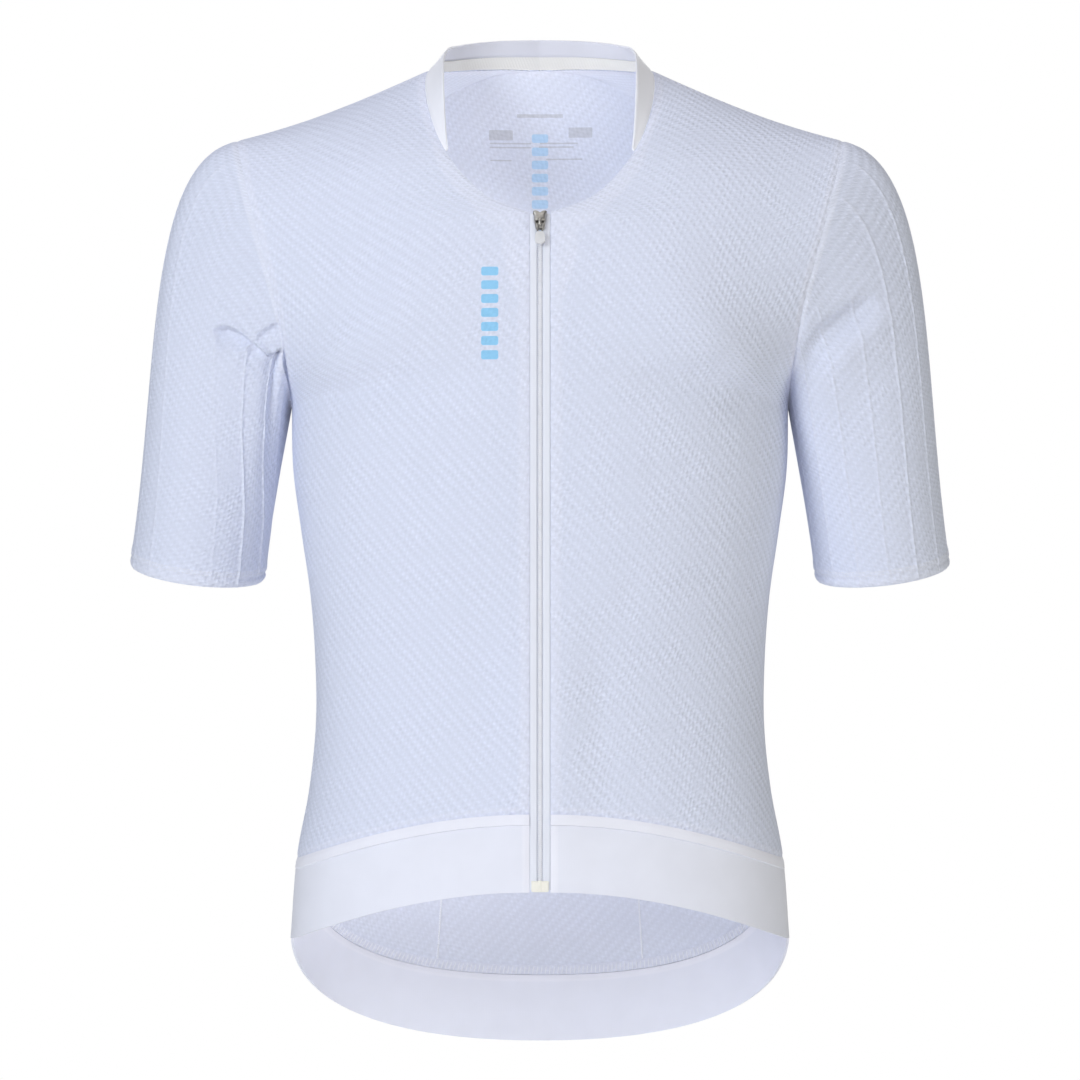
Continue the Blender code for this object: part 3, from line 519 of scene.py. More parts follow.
def sheetGrid(points, across, up, closed=False):
    # faces of a grid of rows, with each corner's place on the cloth's map
    rows, columns = points.shape[:2]
    i, j = np.meshgrid(np.arange(rows - 1), np.arange(columns if closed else columns - 1), indexing="ij")
    k = (j + 1) % columns
    index = [(i, j), (i, k), (i + 1, k), (i + 1, j)]
    faces = np.stack([a * columns + b for a, b in index], -1).reshape(-1, 4)
    chart = [(i, j, j), (i, j + 1, k), (i + 1, j + 1, k), (i + 1, j, j)]
    corners = np.stack([np.stack((across[a, b], up[a, c]), -1) for a, b, c in chart], 2)
    return faces, corners.reshape(-1, 2)


def selectOnly(piece):
    bpy.ops.object.select_all(action="DESELECT")
    piece.select_set(True)
    bpy.context.view_layer.objects.active = piece


def newShape(adder, **settings):
    # one of Blender's own simple shapes, alone in the selection
    bpy.ops.object.select_all(action="DESELECT")
    adder(**settings)
    return bpy.context.object


def applyModifier(piece, kind, **settings):
    selectOnly(piece)
    step = piece.modifiers.new(kind.lower(), kind)
    for key, value in settings.items():
        setattr(step, key, value)
    bpy.ops.object.modifier_apply(modifier=step.name)


def finishCloth(piece, thick, outer, inner=None, node=None, welded=False):
    # a wall inward from the outer face, shaded smooth, and set on the frame
    if welded:
        applyModifier(piece, "WELD", merge_threshold=0.02 * mm)
    piece.data.materials.append(outer)
    piece.data.materials.append(inner or outer)
    applyModifier(piece, "SOLIDIFY", thickness=thick * mm, offset=-1, material_offset=1)
    selectOnly(piece)
    bpy.ops.object.shade_smooth_by_angle(angle=math.radians(50))
    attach(piece, jersey)
    if node:
        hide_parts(node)
    return piece


def clothPiece(name, grids, thick, outer, inner=None, closed=False, node=None):
    # grids: (points, across, up, double) for each; more than one are welded where they meet
    points, faces, corners, double, count = [], [], [], [], 0
    for grid, across, up, twice in grids:
        f, c = sheetGrid(grid, across, up, closed)
        points.append(grid.reshape(-1, 3))
        faces.append(f + count)
        corners.append(c)
        double.append(np.broadcast_to(twice, grid.shape[:2]).ravel())
        count += grid.shape[0] * grid.shape[1]
    made = meshFrom(name, np.concatenate(points), np.concatenate(faces), np.concatenate(corners),
                    np.concatenate(double))
    return finishCloth(made, thick, outer, inner, node or name, welded=len(grids) > 1)


seam = {"depth": 0.6, "width": 1.9, "allowance": 5.0, "blend": 1.2, "chart": (400, 800)}


def edgeDistance(points, line):
    # how far each point is from a line of points
    best = np.full(points.shape[:-1], 1e9)
    for a, b in zip(line[:-1], line[1:]):
        run = b - a
        at = np.clip((points - a) @ run / max(run @ run, 1e-9), 0, 1)
        best = np.minimum(best, np.linalg.norm(points - a - at[..., None] * run, axis=-1))
    return best


def doubled(away, width):
    # 1 where the cloth lies double beside an edge, and 0 further in
    return 1 - smooth((away - width + seam["blend"] / 2) / seam["blend"])


def bodyPiece(t, u, edges, folds=(), foot=0, turned=False):
    # a grid of the body, its seams pressed in and its double edges marked. edges: (side, share pressed in);
    # folds: (side, width that lies double)
    points, ways = bodySurface(t[:, None], u[None, :])
    plain, _ = bodySurface(t[:, None], u[None, :], creased=False)
    right = u[0] < 0
    lines = {"inner": plain[:, -1 if right else 0], "outer": plain[:, 0 if right else -1],
             "first": plain[0], "last": plain[-1]}
    double = np.zeros(plain.shape[:2])
    for side, press in edges:
        rows = np.nonzero(np.atleast_1d(press) > 0)[0] if np.ndim(press) else slice(None)
        away = edgeDistance(plain, lines[side][rows])
        points = points - ways * groove(away, seam["depth"], seam["width"])[..., None]
        double = np.maximum(double, doubled(away, seam["allowance"]))
    for side, width in folds:
        double = np.maximum(double, doubled(edgeDistance(plain, lines[side]), width))
    across, up = lengths(plain, 1), lengths(plain, 0)
    if right:
        across = plain[:, -1:, 0] - (across[:, -1:] - across)
    else:
        across = plain[:, :1, 0] + across
    up = plain[foot, None, :, 2] + np.abs(up[foot, None] - up)
    return points, seam["chart"][0] + (-across if turned else across), seam["chart"][1] + up, double


def rightSide(u):
    return np.minimum(-u[::-1], -1e-9)


panel = {"wall": 1.2, "frontSteps": (84, 180), "backSteps": (76, 48, 138)}
# width of the facing that lies double along the zip and the neckline, by body row
facing = ((0, 7), (9.2, 7.5), (9.5, 10), (10.1, 18), (10.6, 19.5), (11, 16), (11.5, 13), (12.6, 11),
          (13.2, 6), (15, 6))

across, along = panel["frontSteps"]
u = steps(0, (0.02, 6), (0.98, across), (1, 6))
t = steps(frontBand, (frontBand + 0.12, 6), (shoulder - 0.12, along), (shoulder, 6))
faced = np.interp(t, *zip(*facing))[:, None]
frontEdges = (("inner", 1), ("outer", 1), ("first", 1), ("last", 1))
for name, side, finish, node in (("frontLeft", u, meshKnit, "front_left"),
                                 ("frontRight", rightSide(u), meshKnitDashed, "front_right")):
    clothPiece(name, [bodyPiece(t, side, frontEdges, (("inner", faced),))], panel["wall"], finish,
               meshKnitReverse, node=node)

across, yoke, along = panel["backSteps"]
u = steps(0, (0.02, 4), (0.98, across), (1, 6))
t = steps(shoulder, (shoulder + 0.12, 6), (backNeck - 0.02, yoke), (backNeck + 0.1, 4),
          (backBand - 0.1, along), (backBand, 6))
backEdges = (("inner", np.where(t <= backNeck + 0.001, 1, 0)), ("outer", 1), ("first", 1), ("last", 1))
clothPiece("backPanel", [bodyPiece(t, side, backEdges, foot=-1, turned=True) for side in (rightSide(u), u)],
           panel["wall"], meshKnitBack, meshKnitInside, node="back")
print("body panels made")


sleeve = {"wall": 1.2, "cuffCentre": (248.6, 25, -354), "halfWidth": 49, "halfDepth": 51, "lean": 7,
          "tilt": 11, "leave": (72, 30), "arrive": (140, 45), "taper": 7, "ribs": 14, "ribHeight": 0.95,
          "ribWidth": 0.085, "ribFade": 0.1, "ribDoubleAndGlint": 0.8, "ribStartBlend": 10, "hem": 11,
          "hemBlend": 1.5, "around": 330, "turns": {"left": -2, "right": 9}}
# rows from the armhole to the cuff, as (share of the way, how many), closer together where creases lie
sleeveRows = (0, (0.012, 5), (0.15, 20), (0.42, 84), (0.93, 28), (0.957, 5), (1, 19))
# how clearly each rib stands out, from the shoulder down the front and back up behind, and the height below
# which the ribs beside the armpit begin
ribStrength = {"left": (0.5, 0.6, 0.6, 0.5, 0.5, 0.5, 0.5, 0.6, 0.6, 0.6, 0.6, 0.6, 0.6, 0.6),
               "right": (0.4, 0.45, 0.15, 0.35, 1.0, 0.9, 0.5, 0.6, 0.6, 0.6, 0.6, 0.6, 0.6, 0.6)}
ribStart = {"left": {3: -160, 4: -168, 5: -180}, "right": {3: -183, 4: -194, 5: -203, 6: -205}}
# the turned hem, by distance from the edge: a roll, the pressed stitch line, and the soft ridge above it
cuffProfile = ((0, -1.1), (0.8, -0.5), (2.4, 0.15), (4.2, 0.3), (5.5, -0.4), (6.3, -0.5), (7.5, 0.1),
               (9.6, 0.5), (12, 0.3), (16, 0))
leftSleeveCreases = (
    (-1, ((240, -158), (221, -170.5), (200, -185), (190, -202), (186, -216)), 6, 13, 6.5),
    (-1, ((250, -172), (226, -190), (206, -214)), 9, 9, -2.2),
    (-1, ((262, -196), (240, -214), (218, -240)), 8, 13, 1.0),
    (1, ((240, -166), (214, -186), (188, -205)), 9, 13, 6.0),
    (1, ((262, -236), (238, -252), (214, -262)), 9, 14, 3.0),
    (1, ((276, -292), (250, -304), (224, -306)), 8, 12, 1.4),
)
rightSleeveCreases = (
    (-1, ((-233, -179.6), (-229.9, -179.1), (-223.5, -178.4), (-220.4, -179.4), (-213.3, -182.0),
          (-208.7, -185.5), (-204.2, -189.2)), 1.25, 14, 5.5),
    (-1, ((-204.2, -188.8), (-198.7, -183.2), (-193.4, -179.6), (-185.9, -175.1)), 1.25, 8, 3.0),
    (-1, ((-204.2, -189.6), (-199.4, -194.0), (-193.4, -199.6), (-187.4, -198.3), (-181.7, -196.4)), 1.25,
     13, 5.5),
    (-1, ((-211, -171), (-204.2, -163.4)), 1.3, 4, 1.0),
    (-1, ((-181.5, -202), (-180, -224), (-179.5, -250)), 8, 22, 4.0),
    (-1, ((-186, -189), (-184.5, -215), (-186, -250), (-190, -300)), 8, 9, 7.5),
    (-1, ((-226, -158), (-205, -170), (-192, -172)), 8, 8, -1.6),
    (1, ((-240, -172), (-214, -192), (-190, -206)), 9, 13, 6.5),
    (1, ((-266, -244), (-242, -256), (-218, -262)), 9, 14, 2.6),
    (1, ((-274, -300), (-250, -310), (-226, -310)), 8, 12, 1.2),
)


def sleeveForm(p, r, turn):
    # the sleeve's outer face at step p round the armhole and share r of the way to the cuff
    angle = np.pi * p / sleeve["ribs"]
    lean, tilt = math.radians(sleeve["lean"]), math.radians(sleeve["tilt"])
    across = np.array((math.cos(lean), 0, math.sin(lean))) * sleeve["halfWidth"]
    forward = np.array((0, -math.cos(tilt), -math.sin(tilt))) * sleeve["halfDepth"]
    down = unit(np.cross(across, forward))
    turned = (angle + math.radians(turn))[:, None]
    cuff = np.array(sleeve["cuffCentre"]) + across * np.cos(turned) + forward * np.sin(turned)
    row = np.where(p <= sleeve["ribs"], shoulder - p / 2, backHem - 1 - p / 2)
    curve = bodyCurve(row)
    _, seamWay = bodySurface(row, np.ones_like(row), creased=False)
    under = ((1 - np.cos(angle)) / 2)[:, None]
    start = curve[3].copy()
    heading = unit(unit(curve[3] - curve[2]) * (1 - under) + unit(cuff - start) * under)
    start[:, 0] -= 0.2
    reach = sleeve["leave"][0] * (1 - under) + sleeve["leave"][1] * under
    above = cuff - down * (sleeve["arrive"][0] * (1 - under) + sleeve["arrive"][1] * under)
    above[:, 0] -= sleeve["taper"] * (1 - under[:, 0])
    curve = np.stack((start, start + heading * reach, above, cuff))
    return bezier(curve[:, None], r[:, None, None]), seamWay


# how far round the ring the underarm ribs hang off their straight run, by height; ringLength is
# once round the armhole in half rib spaces
ringLength = 2 * sleeve["ribs"]
ribTurn = {"left": ((-400, 0), (0, 0)),
           "right": ((-360, 0.45), (-309, 0.36), (-255, -0.33), (-202, -0.6), (-185, -0.6))}


def ribColumns():
    # steps round the ring, closer together over each rib
    offsets = (-1, -0.76, -0.54, -0.36, -0.24, -0.16, -0.11, -0.07, -0.035, 0, 0.035, 0.07, 0.11, 0.16,
               0.24, 0.36, 0.54, 0.76)
    p = np.array([2 * k + 1 + o for k in range(sleeve["ribs"]) for o in offsets])
    gap = np.diff(np.append(p, p[0] + ringLength))
    extra = (p + gap / 2)[(gap > 0.15) & (p > 4.5) & (p < 12.5)]
    p = np.sort(np.concatenate((p, extra)))
    return p, (p % 2) - 1


def sleevePiece(name, side, creases, finish, node):
    turn, flip = sleeve["turns"][side], side == "right"
    p, offset = ribColumns()
    number = np.clip(p // 2, 0, sleeve["ribs"] - 1).astype(int)
    strength = np.array(ribStrength[side])[number]
    below = np.array([ribStart[side].get(k, 100) for k in number])
    r = steps(*sleeveRows)
    plain, seamWay = sleeveForm(p, r, turn)
    height = plain[:, np.argmin(np.abs(p - 9)), 2]
    share = smooth((p - 4) / 3) * smooth((15 - p) / 3)
    place = p + np.interp(height, *zip(*ribTurn[side]))[:, None] * share
    plain = np.stack([[np.interp(at, p, row[:, k], period=ringLength) for at, row in zip(place, plain)]
                      for k in range(3)], -1)
    if flip:
        plain, offset, seamWay = plain[:, ::-1].copy(), offset[::-1], seamWay[::-1].copy()
        strength, below = strength[::-1], below[::-1]
        plain[..., 0] *= -1
        seamWay[:, 0] *= -1
    ring = np.roll(plain, -1, axis=1) - np.roll(plain, 1, axis=1)
    ways = unit(np.cross(ring, np.gradient(plain, axis=0)))
    down = lengths(plain, 0)
    left = down[-1:] - down
    rib = (np.exp(-(offset / sleeve["ribWidth"])**2) * strength)[None, :]
    rib = rib * smooth(r / sleeve["ribFade"])[:, None]
    rib = rib * smooth((below[None, :] - plain[..., 2]) / sleeve["ribStartBlend"] + 0.5)
    lift = sleeve["ribHeight"] * rib * (1 - 0.25 * np.interp(left, (5, 8), (1, 0)))
    lift = lift + np.interp(left, *zip(*cuffProfile))
    points = plain + ways * lift[..., None]
    points = points - ways * creaseDepth(plain, ways, creases)[..., None]
    points = points - seamWay[None] * groove(down, seam["depth"], seam["width"])[..., None]
    turnedHem = 1 - smooth((left - sleeve["hem"]) / sleeve["hemBlend"])
    double = np.maximum(doubled(down, seam["allowance"]), turnedHem)
    # rib crests count as folded, doubled cloth, and their whitening, scaled by how clearly each rib stands
    # out, is also a painted highlight along each crest
    double = np.maximum(double, sleeve["ribDoubleAndGlint"] * rib)
    across = np.append(p[::-1], p[-1] - ringLength) if flip else np.append(p, p[0] + ringLength)
    across = across * sleeve["around"] / ringLength
    across = np.broadcast_to(across + 400, (len(r), len(across)))
    clothPiece(name, [(points, across, 100 + left, double)], sleeve["wall"], finish, closed=True, node=node)
    return points, ways, left


cuffSurfaces = {
    "cuffStitchesLeft": sleevePiece("sleeveLeft", "left", leftSleeveCreases, ribKnit, "sleeve_left"),
    "cuffStitchesRight": sleevePiece("sleeveRight", "right", rightSleeveCreases, ribKnit, "sleeve_right"),
}
print("sleeves made")


# the strip is the doubled cloth at the top of the front bands, which stands out and thins towards the sides
band = {"wall": 1.6, "stripFoot": 0.845, "stripRaise": 1.3, "stripBlend": 0.012, "stripThin": 0.2,
        "stripThinFrom": 0.45}

u = steps(0, (0.02, 6), (0.98, 70), (1, 6))
t = steps(frontHem, (0.06, 4), (0.815, 14), (0.9, 14), (0.94, 3), (frontBand, 6))
bandEdges = (("outer", 1), ("last", 1), ("inner", 0.6))
thinned = band["stripThin"] + (1 - band["stripThin"]) * smooth((1 - u) / band["stripThinFrom"])
strip = smooth((t - band["stripFoot"]) / band["stripBlend"])[:, None] * thinned[None, :]
for name, side, node in (("frontBandLeft", u, "waistband_front_left"),
                         ("frontBandRight", rightSide(u), "waistband_front_right")):
    points, across, up, double = bodyPiece(t, side, bandEdges)
    raised = strip if side is u else strip[:, ::-1]
    _, ways = bodySurface(t[:, None], side[None, :])
    points = points + ways * (raised * band["stripRaise"])[..., None]
    double = np.maximum(double, smooth((t[:, None] - band["stripFoot"]) / 0.02))
    clothPiece(name, [(points, across, up, double)], band["wall"], smoothKnit, node=node)

t = steps(backBand, (backBand + 0.12, 6), (backHem - 0.06, 15), (backHem, 4))
u = steps(0, (0.98, 72), (1, 6))
clothPiece("backBand", [bodyPiece(t, side, (("outer", 1), ("first", 1)), foot=-1, turned=True)
                        for side in (rightSide(u), u)], band["wall"], smoothKnit, node="waistband_back")
print("hem band made")


collar = {"wall": 1.2, "edgeRoll": (0.35, 0.9), "bulge": 0.5, "tapeTop": 0.42, "tapeWall": 0.9,
          "tapeEnds": 15.0, "tapeDepth": 1.55}
# free edge of the collar beside each body row, from the front tip to the back neck
collarRows = np.array(((66.4, -65.2, -54), (69.5, -30, -2), (68.5, 13, 22.5), (58, 36, 29.5), (33, 53, 34),
                       (0, 58.5, 35.5)), float)
collarSlopes = slopes(collarRows, ())


def collarGrid(t, shares, out):
    # from the right tip round the back to the left tip; share 1 is the free edge
    seamLine, _ = bodySurface(t, np.zeros_like(t), creased=False)
    free = tableCurve(collarRows, collarSlopes, t - collarTip)
    left = seamLine[None] + (free - seamLine)[None] * shares[:, None, None]
    right = left * (-1, 1, 1)
    grid = np.concatenate((right[:, :-1], left[:, ::-1]), axis=1)
    ways = unit(np.cross(np.gradient(grid, axis=1), np.gradient(grid, axis=0)))
    return grid + ways * out, ways


t = steps(collarTip, (backNeck, 70))
shares = steps(1, (0.94, 3), (0.12, 12), (0, 4))
grid, ways = collarGrid(t, shares, 0)
height = lengths(grid, 0)
foot = height[-1:] - height
pressed = groove(foot, seam["depth"], seam["width"]) + groove(height, *collar["edgeRoll"])
grid = grid - ways * pressed[..., None]
grid = grid - ways * (collar["bulge"] * np.sin(np.pi * shares)[:, None])[..., None]
clothPiece("collarBand", [(grid, lengths(grid, 1) + 100, 300 + foot, np.zeros(foot.shape))], collar["wall"],
           collarKnit, collarLining, node="collar")

t = steps(collar["tapeEnds"], (backNeck, 60))
shares = steps(collar["tapeTop"], (0.38, 2), (0.04, 6), (0, 2))
grid, ways = collarGrid(t, shares, -collar["tapeDepth"])
clothPiece("neckTape", [(grid, lengths(grid, 1) + 100, 300 - lengths(grid, 0), np.zeros(grid.shape[:2]))],
           collar["tapeWall"], tapeTwill, node="neck_tape")
print("collar made")


# the dividers and the outer sides as shares of the way from the middle to the side seam, and the top edge's
# place at the dividers and at the outer sides, in body rows
pockets = {"wall": 1.1, "divider": 3 / 11, "side": 10 / 11, "top": (26.55, 26.8), "lift": 1.4, "hem": 15.5,
           "hemRaise": 0.45, "slack": 1.3, "slackFade": 40, "edge": (0.9, 1.6), "topEdge": (0.3, 0.8),
           "allowance": 4, "rowStep": 71}


def pocketTop(u):
    outer = np.clip((np.abs(u) - pockets["divider"]) / (pockets["side"] - pockets["divider"]), 0, 1)
    return pockets["top"][0] + (pockets["top"][1] - pockets["top"][0]) * outer


def pocketPiece(name, node, first, last):
    u = np.linspace(first, last, 64 if first * last < 0 else 70)
    u = np.where(np.abs(u) < 1e-9, 1e-9, u)
    top = pocketTop(u)
    share = steps(0, (0.02, 3), (0.16, 14), (0.95, 44), (1, 6))[:, None]
    t = top[None, :] + (backBand - top)[None, :] * share
    u = np.broadcast_to(u, t.shape)
    plain, ways = bodySurface(t, u)
    across, down = lengths(plain, 1), lengths(plain, 0)
    edge = np.minimum(np.minimum(across, across[:, -1:] - across), down[-1:] - down)
    loose = np.sin(np.pi * across / across[:, -1:]) * np.exp(-down / pockets["slackFade"])
    hem = smooth((pockets["hem"] - down) / 1.0)
    lift = pockets["lift"] + pockets["slack"] * loose + pockets["hemRaise"] * hem
    lift = lift - groove(edge, *pockets["edge"]) - groove(down, *pockets["topEdge"])
    double = np.maximum(hem, smooth(pockets["allowance"] - edge))
    left = across + plain[:, :1, 0]
    clothPiece(name, [(plain + ways * lift[..., None], seam["chart"][0] - left, 900 - down, double)],
               pockets["wall"], meshKnit, node=node)


pocketSpans = {"pocketRight": ("pocket_right", -pockets["side"], -pockets["divider"]),
               "pocketCentre": ("pocket_centre", -pockets["divider"], pockets["divider"]),
               "pocketLeft": ("pocket_left", pockets["divider"], pockets["side"])}
for name, span in pocketSpans.items():
    pocketPiece(name, *span)
print("pockets made")


# a stitch is modelled once, from a ball this fine; each row has its pitch and the stitch's length, width
# and height
stitch = {"sides": 6, "rings": 4, "sunk": 0.2}
coverStitch = {"pitch": 3.0, "size": (2.3, 0.42, 0.34), "cuffRows": (8.6, 11.2), "hemRows": (11.5, 14.0),
               "hemLift": 1.95, "edgeLift": 1.15, "edgeInset": 0.009, "sideInset": -0.01,
               "edgeTops": (26.62, 26.86), "edgeEnd": 0.03}
# along the seam of the tail, by body rows before it: the loops, and the edge strip that they bind
overlock = {"pitch": 3.1, "size": (6.9, 1.1, 0.45), "lean": 0.16, "reach": 0.985, "loops": 0.055,
            "loopDepth": -1.75, "strip": (0.115, 0.003), "stripDepth": -1.22, "stripWall": 0.45}
seamBacks = {"pitch": 1.9, "size": (2.4, 2.0, 0.4), "top": 26.7, "end": 0.02, "depth": -1.25}


def unitStitch():
    # one stitch, 1 long, 1 wide and 1 high, that every seam repeats
    ball = newShape(bpy.ops.mesh.primitive_uv_sphere_add, segments=stitch["sides"],
                    ring_count=stitch["rings"], radius=0.5)
    corners = np.array([v.co[:] for v in ball.data.vertices])[:, [2, 0, 1]]
    faces = [tuple(f.vertices) for f in ball.data.polygons]
    bpy.data.objects.remove(ball)
    return corners, faces


stitchCorners, stitchFaces = unitStitch()


def repeated(name, corners, faces, places, frames, finish, smoothed=True):
    # one mesh that holds a copy of a small shape at every place
    points = places[:, None] + np.einsum("ka,nab->nkb", corners, frames)
    many = [tuple(n * len(corners) + k for k in face) for n in range(len(places)) for face in faces]
    mesh = bpy.data.meshes.new(name)
    mesh.from_pydata((points.reshape(-1, 3) * mm).tolist(), [], many)
    made = bpy.data.objects.new(name, mesh)
    bpy.context.scene.collection.objects.link(made)
    made.data.materials.append(finish)
    if smoothed:
        selectOnly(made)
        bpy.ops.object.shade_smooth()
    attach(made, jersey)
    return made


def stitchFrames(line, ways, pitch, size, lean):
    # where each stitch of a seam lies: along the line, or across it with a lean for an overlock
    run = np.concatenate(((0,), np.cumsum(np.linalg.norm(np.diff(line, axis=0), axis=1))))
    at = np.arange(pitch / 2, run[-1], pitch)
    places, out, ahead, behind = (np.stack([np.interp(at + shift, run, rows[:, k]) for k in range(3)], -1)
                                  for rows, shift in ((line, 0), (ways, 0), (line, 0.6), (line, -0.6)))
    out, along = unit(out), unit(ahead - behind)
    side = unit(np.cross(out, along))
    if lean:
        along, side = unit(side + along * lean), along
    frames = np.stack((along * size[0], side * size[1], out * size[2]), 1)
    return places + out * size[2] * stitch["sunk"], frames


def seamRow(name, rows, look, finish):
    sets = [stitchFrames(*row, look["pitch"], look["size"], look.get("lean")) for row in rows]
    return repeated(name, stitchCorners, stitchFaces, np.concatenate([s[0] for s in sets]),
                    np.concatenate([s[1] for s in sets]), finish)


def bodyLine(t, u, out):
    line, ways = bodySurface(t, u, out)
    return line, ways if out > 0 else -ways


# cover stitch round both cuffs, on the soft ridge above the turned hem
for name, (points, ways, left) in cuffSurfaces.items():
    rows = []
    for height in coverStitch["cuffRows"]:
        k = np.argmin(np.abs(left - height), axis=0)
        columns = np.append(np.arange(len(k)), 0)
        rows.append((points[k[columns], columns], ways[k[columns], columns]))
    seamRow(name, rows, coverStitch, sewingThread)

# twin rows across the pocket hems, and single rows up the pocket edges
rows = []
for _, first, last in pocketSpans.values():
    u = np.linspace(first, last, 60) + (1e-6 if first == -last else 0)
    loose = np.sin(np.pi * np.linspace(0, 1, 60)) * pockets["slack"]
    for drop in coverStitch["hemRows"]:
        line, ways = bodySurface(pocketTop(u) + drop / pockets["rowStep"], u)
        lift = coverStitch["hemLift"] + loose * math.exp(-drop / pockets["slackFade"])
        rows.append((line + ways * lift[:, None], ways))
dividerTop, sideTop = coverStitch["edgeTops"]
for sign in (-1, 1):
    for share, inset, top in ((pockets["divider"], -coverStitch["edgeInset"], dividerTop),
                              (pockets["divider"], coverStitch["edgeInset"], dividerTop),
                              (pockets["side"], coverStitch["sideInset"], sideTop)):
        t = np.linspace(top, backBand - coverStitch["edgeEnd"], 60)
        rows.append(bodyLine(t, np.full(60, sign * (share + inset)), coverStitch["edgeLift"]))
seamRow("pocketStitches", rows, coverStitch, sewingThread)

# the overlock inside the tail
u = np.linspace(-overlock["reach"], overlock["reach"], 420) + 1e-6
loops = bodyLine(np.full(u.shape, backBand - overlock["loops"]), u, overlock["loopDepth"])
seamRow("tailOverlock", [loops], overlock, loopThread)
t = steps(backBand - overlock["strip"][0], (backBand - overlock["strip"][1], 6))
strip, _ = bodySurface(t[:, None], u[None, ::2], overlock["stripDepth"])
faces, corners = sheetGrid(strip, lengths(strip, 1), lengths(strip, 0))
edgeStrip = meshFrom("tailSeamEdge", strip.reshape(-1, 3), faces, corners, np.ones(strip.shape[:2]))
finishCloth(edgeStrip, overlock["stripWall"], meshKnitInside)

# the backs of the pocket seams show inside the tail as pale raised lines
t = np.linspace(seamBacks["top"], backBand - seamBacks["end"], 90)
rows = [bodyLine(t, np.full(90, share), seamBacks["depth"])
        for share in (-pockets["side"], -pockets["divider"], pockets["divider"], pockets["side"])]
seamRow("pocketSeamBacks", rows, seamBacks, loopThread)
print("sewing done")


zipper = {"tapeEnd": 0.03, "tapeWall": 0.8, "tooth": (2.4, 0.98, 1.0), "toothBevel": 0.3, "toothPitch": 1.3,
          "toothOffset": 0.52, "toothDepth": 1.02, "boxTop": -568, "boxFoot": -575.5, "sliderTop": -101.5,
          "sliderFoot": -114.5}
# how deep the tape lies, by distance from the middle: under the teeth, up to a flat strip beside them, and
# down behind the cloth
tapeProfile = ((0, 1.62), (1.75, 1.62), (1.95, 1.2), (2.3, 0.75), (2.8, 0.55), (6.6, 0.5), (7.0, 0.7),
               (7.3, 1.4), (7.7, 2.05), (12.7, 2.75))


def centreFront(t):
    # middle of the front and the way out of the cloth there
    t = np.asarray(t, float)
    before, after = (bodyCurve(np.clip(t + d, 0, neckFoot))[0] for d in (-0.2, 0.2))
    along = unit(after - before)
    point = bodyCurve(t)[0] * (0, 1, 1)
    return point, np.stack((along[..., 0] * 0, -along[..., 2], along[..., 1]), -1)


fineRows = np.linspace(0, neckFoot, 3000)
fineHeights = centreFront(fineRows)[0][:, 2]


def setOn(points, height):
    # points given as x, z and depth into the cloth, set on the front as it lies at that height
    point, out = centreFront(np.interp(height, fineHeights, fineRows))
    local = np.array(points, float)
    local[:, 1] -= height
    local[:, 2] *= -1
    return (point + local @ np.array(((1, 0, 0), (0, out[2], -out[1]), out))) * mm


def setVertices(piece, local, height):
    for v, spot in zip(piece.data.vertices, setOn(local, height)):
        v.co = spot


t = np.linspace(zipper["tapeEnd"], neckFoot - zipper["tapeEnd"], 170)
x = steps(0.2, (1.75, 3), (1.95, 1), (2.3, 2), (2.8, 2), (6.6, 5), (7.0, 2), (7.3, 2), (7.7, 2), (12.7, 4))
depth = np.interp(x, *zip(*tapeProfile))
point, out = centreFront(t)
for name, sign, node in (("zipTapeLeft", 1, "zip_tape_left"), ("zipTapeRight", -1, "zip_tape_right")):
    grid = point[:, None] - out[:, None] * depth[None, :, None]
    grid[..., 0] = x * sign
    if sign < 0:
        grid = grid[:, ::-1]
    clothPiece(name, [(grid, grid[..., 0] + 100, lengths(grid, 0) + 100, np.zeros(grid.shape[:2]))],
               zipper["tapeWall"], zipTape, node=node)

# the chain: one moulded tooth, repeated down both tapes in turn
tooth = newShape(bpy.ops.mesh.primitive_cube_add, size=1)
tooth.scale = zipper["tooth"]
bpy.ops.object.transform_apply(location=False, rotation=False, scale=True)
bpy.ops.object.mode_set(mode="EDIT")
bpy.ops.mesh.select_all(action="SELECT")
bpy.ops.mesh.bevel(offset=zipper["toothBevel"], segments=1, affect="EDGES")
bpy.ops.object.mode_set(mode="OBJECT")
toothCorners = np.array([v.co[:] for v in tooth.data.vertices])
toothFaces = [tuple(f.vertices) for f in tooth.data.polygons]
bpy.data.objects.remove(tooth)
heights = np.arange(zipper["boxTop"] + 0.8, zipper["sliderFoot"] - 0.3, zipper["toothPitch"] / 2)
point, out = centreFront(np.interp(heights, fineHeights, fineRows))
places = point - out * zipper["toothDepth"]
places[:, 0] = np.where(np.arange(len(heights)) % 2, 1, -1) * zipper["toothOffset"]
ways = np.zeros((len(heights), 3, 3))
ways[:, 0, 0] = 1
ways[:, 1] = np.stack((out[:, 0] * 0, out[:, 2], -out[:, 1]), -1)
ways[:, 2] = out
chain = repeated("zipTeeth", toothCorners, toothFaces, places, ways, toothPlastic, smoothed=False)
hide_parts("zip_chain")

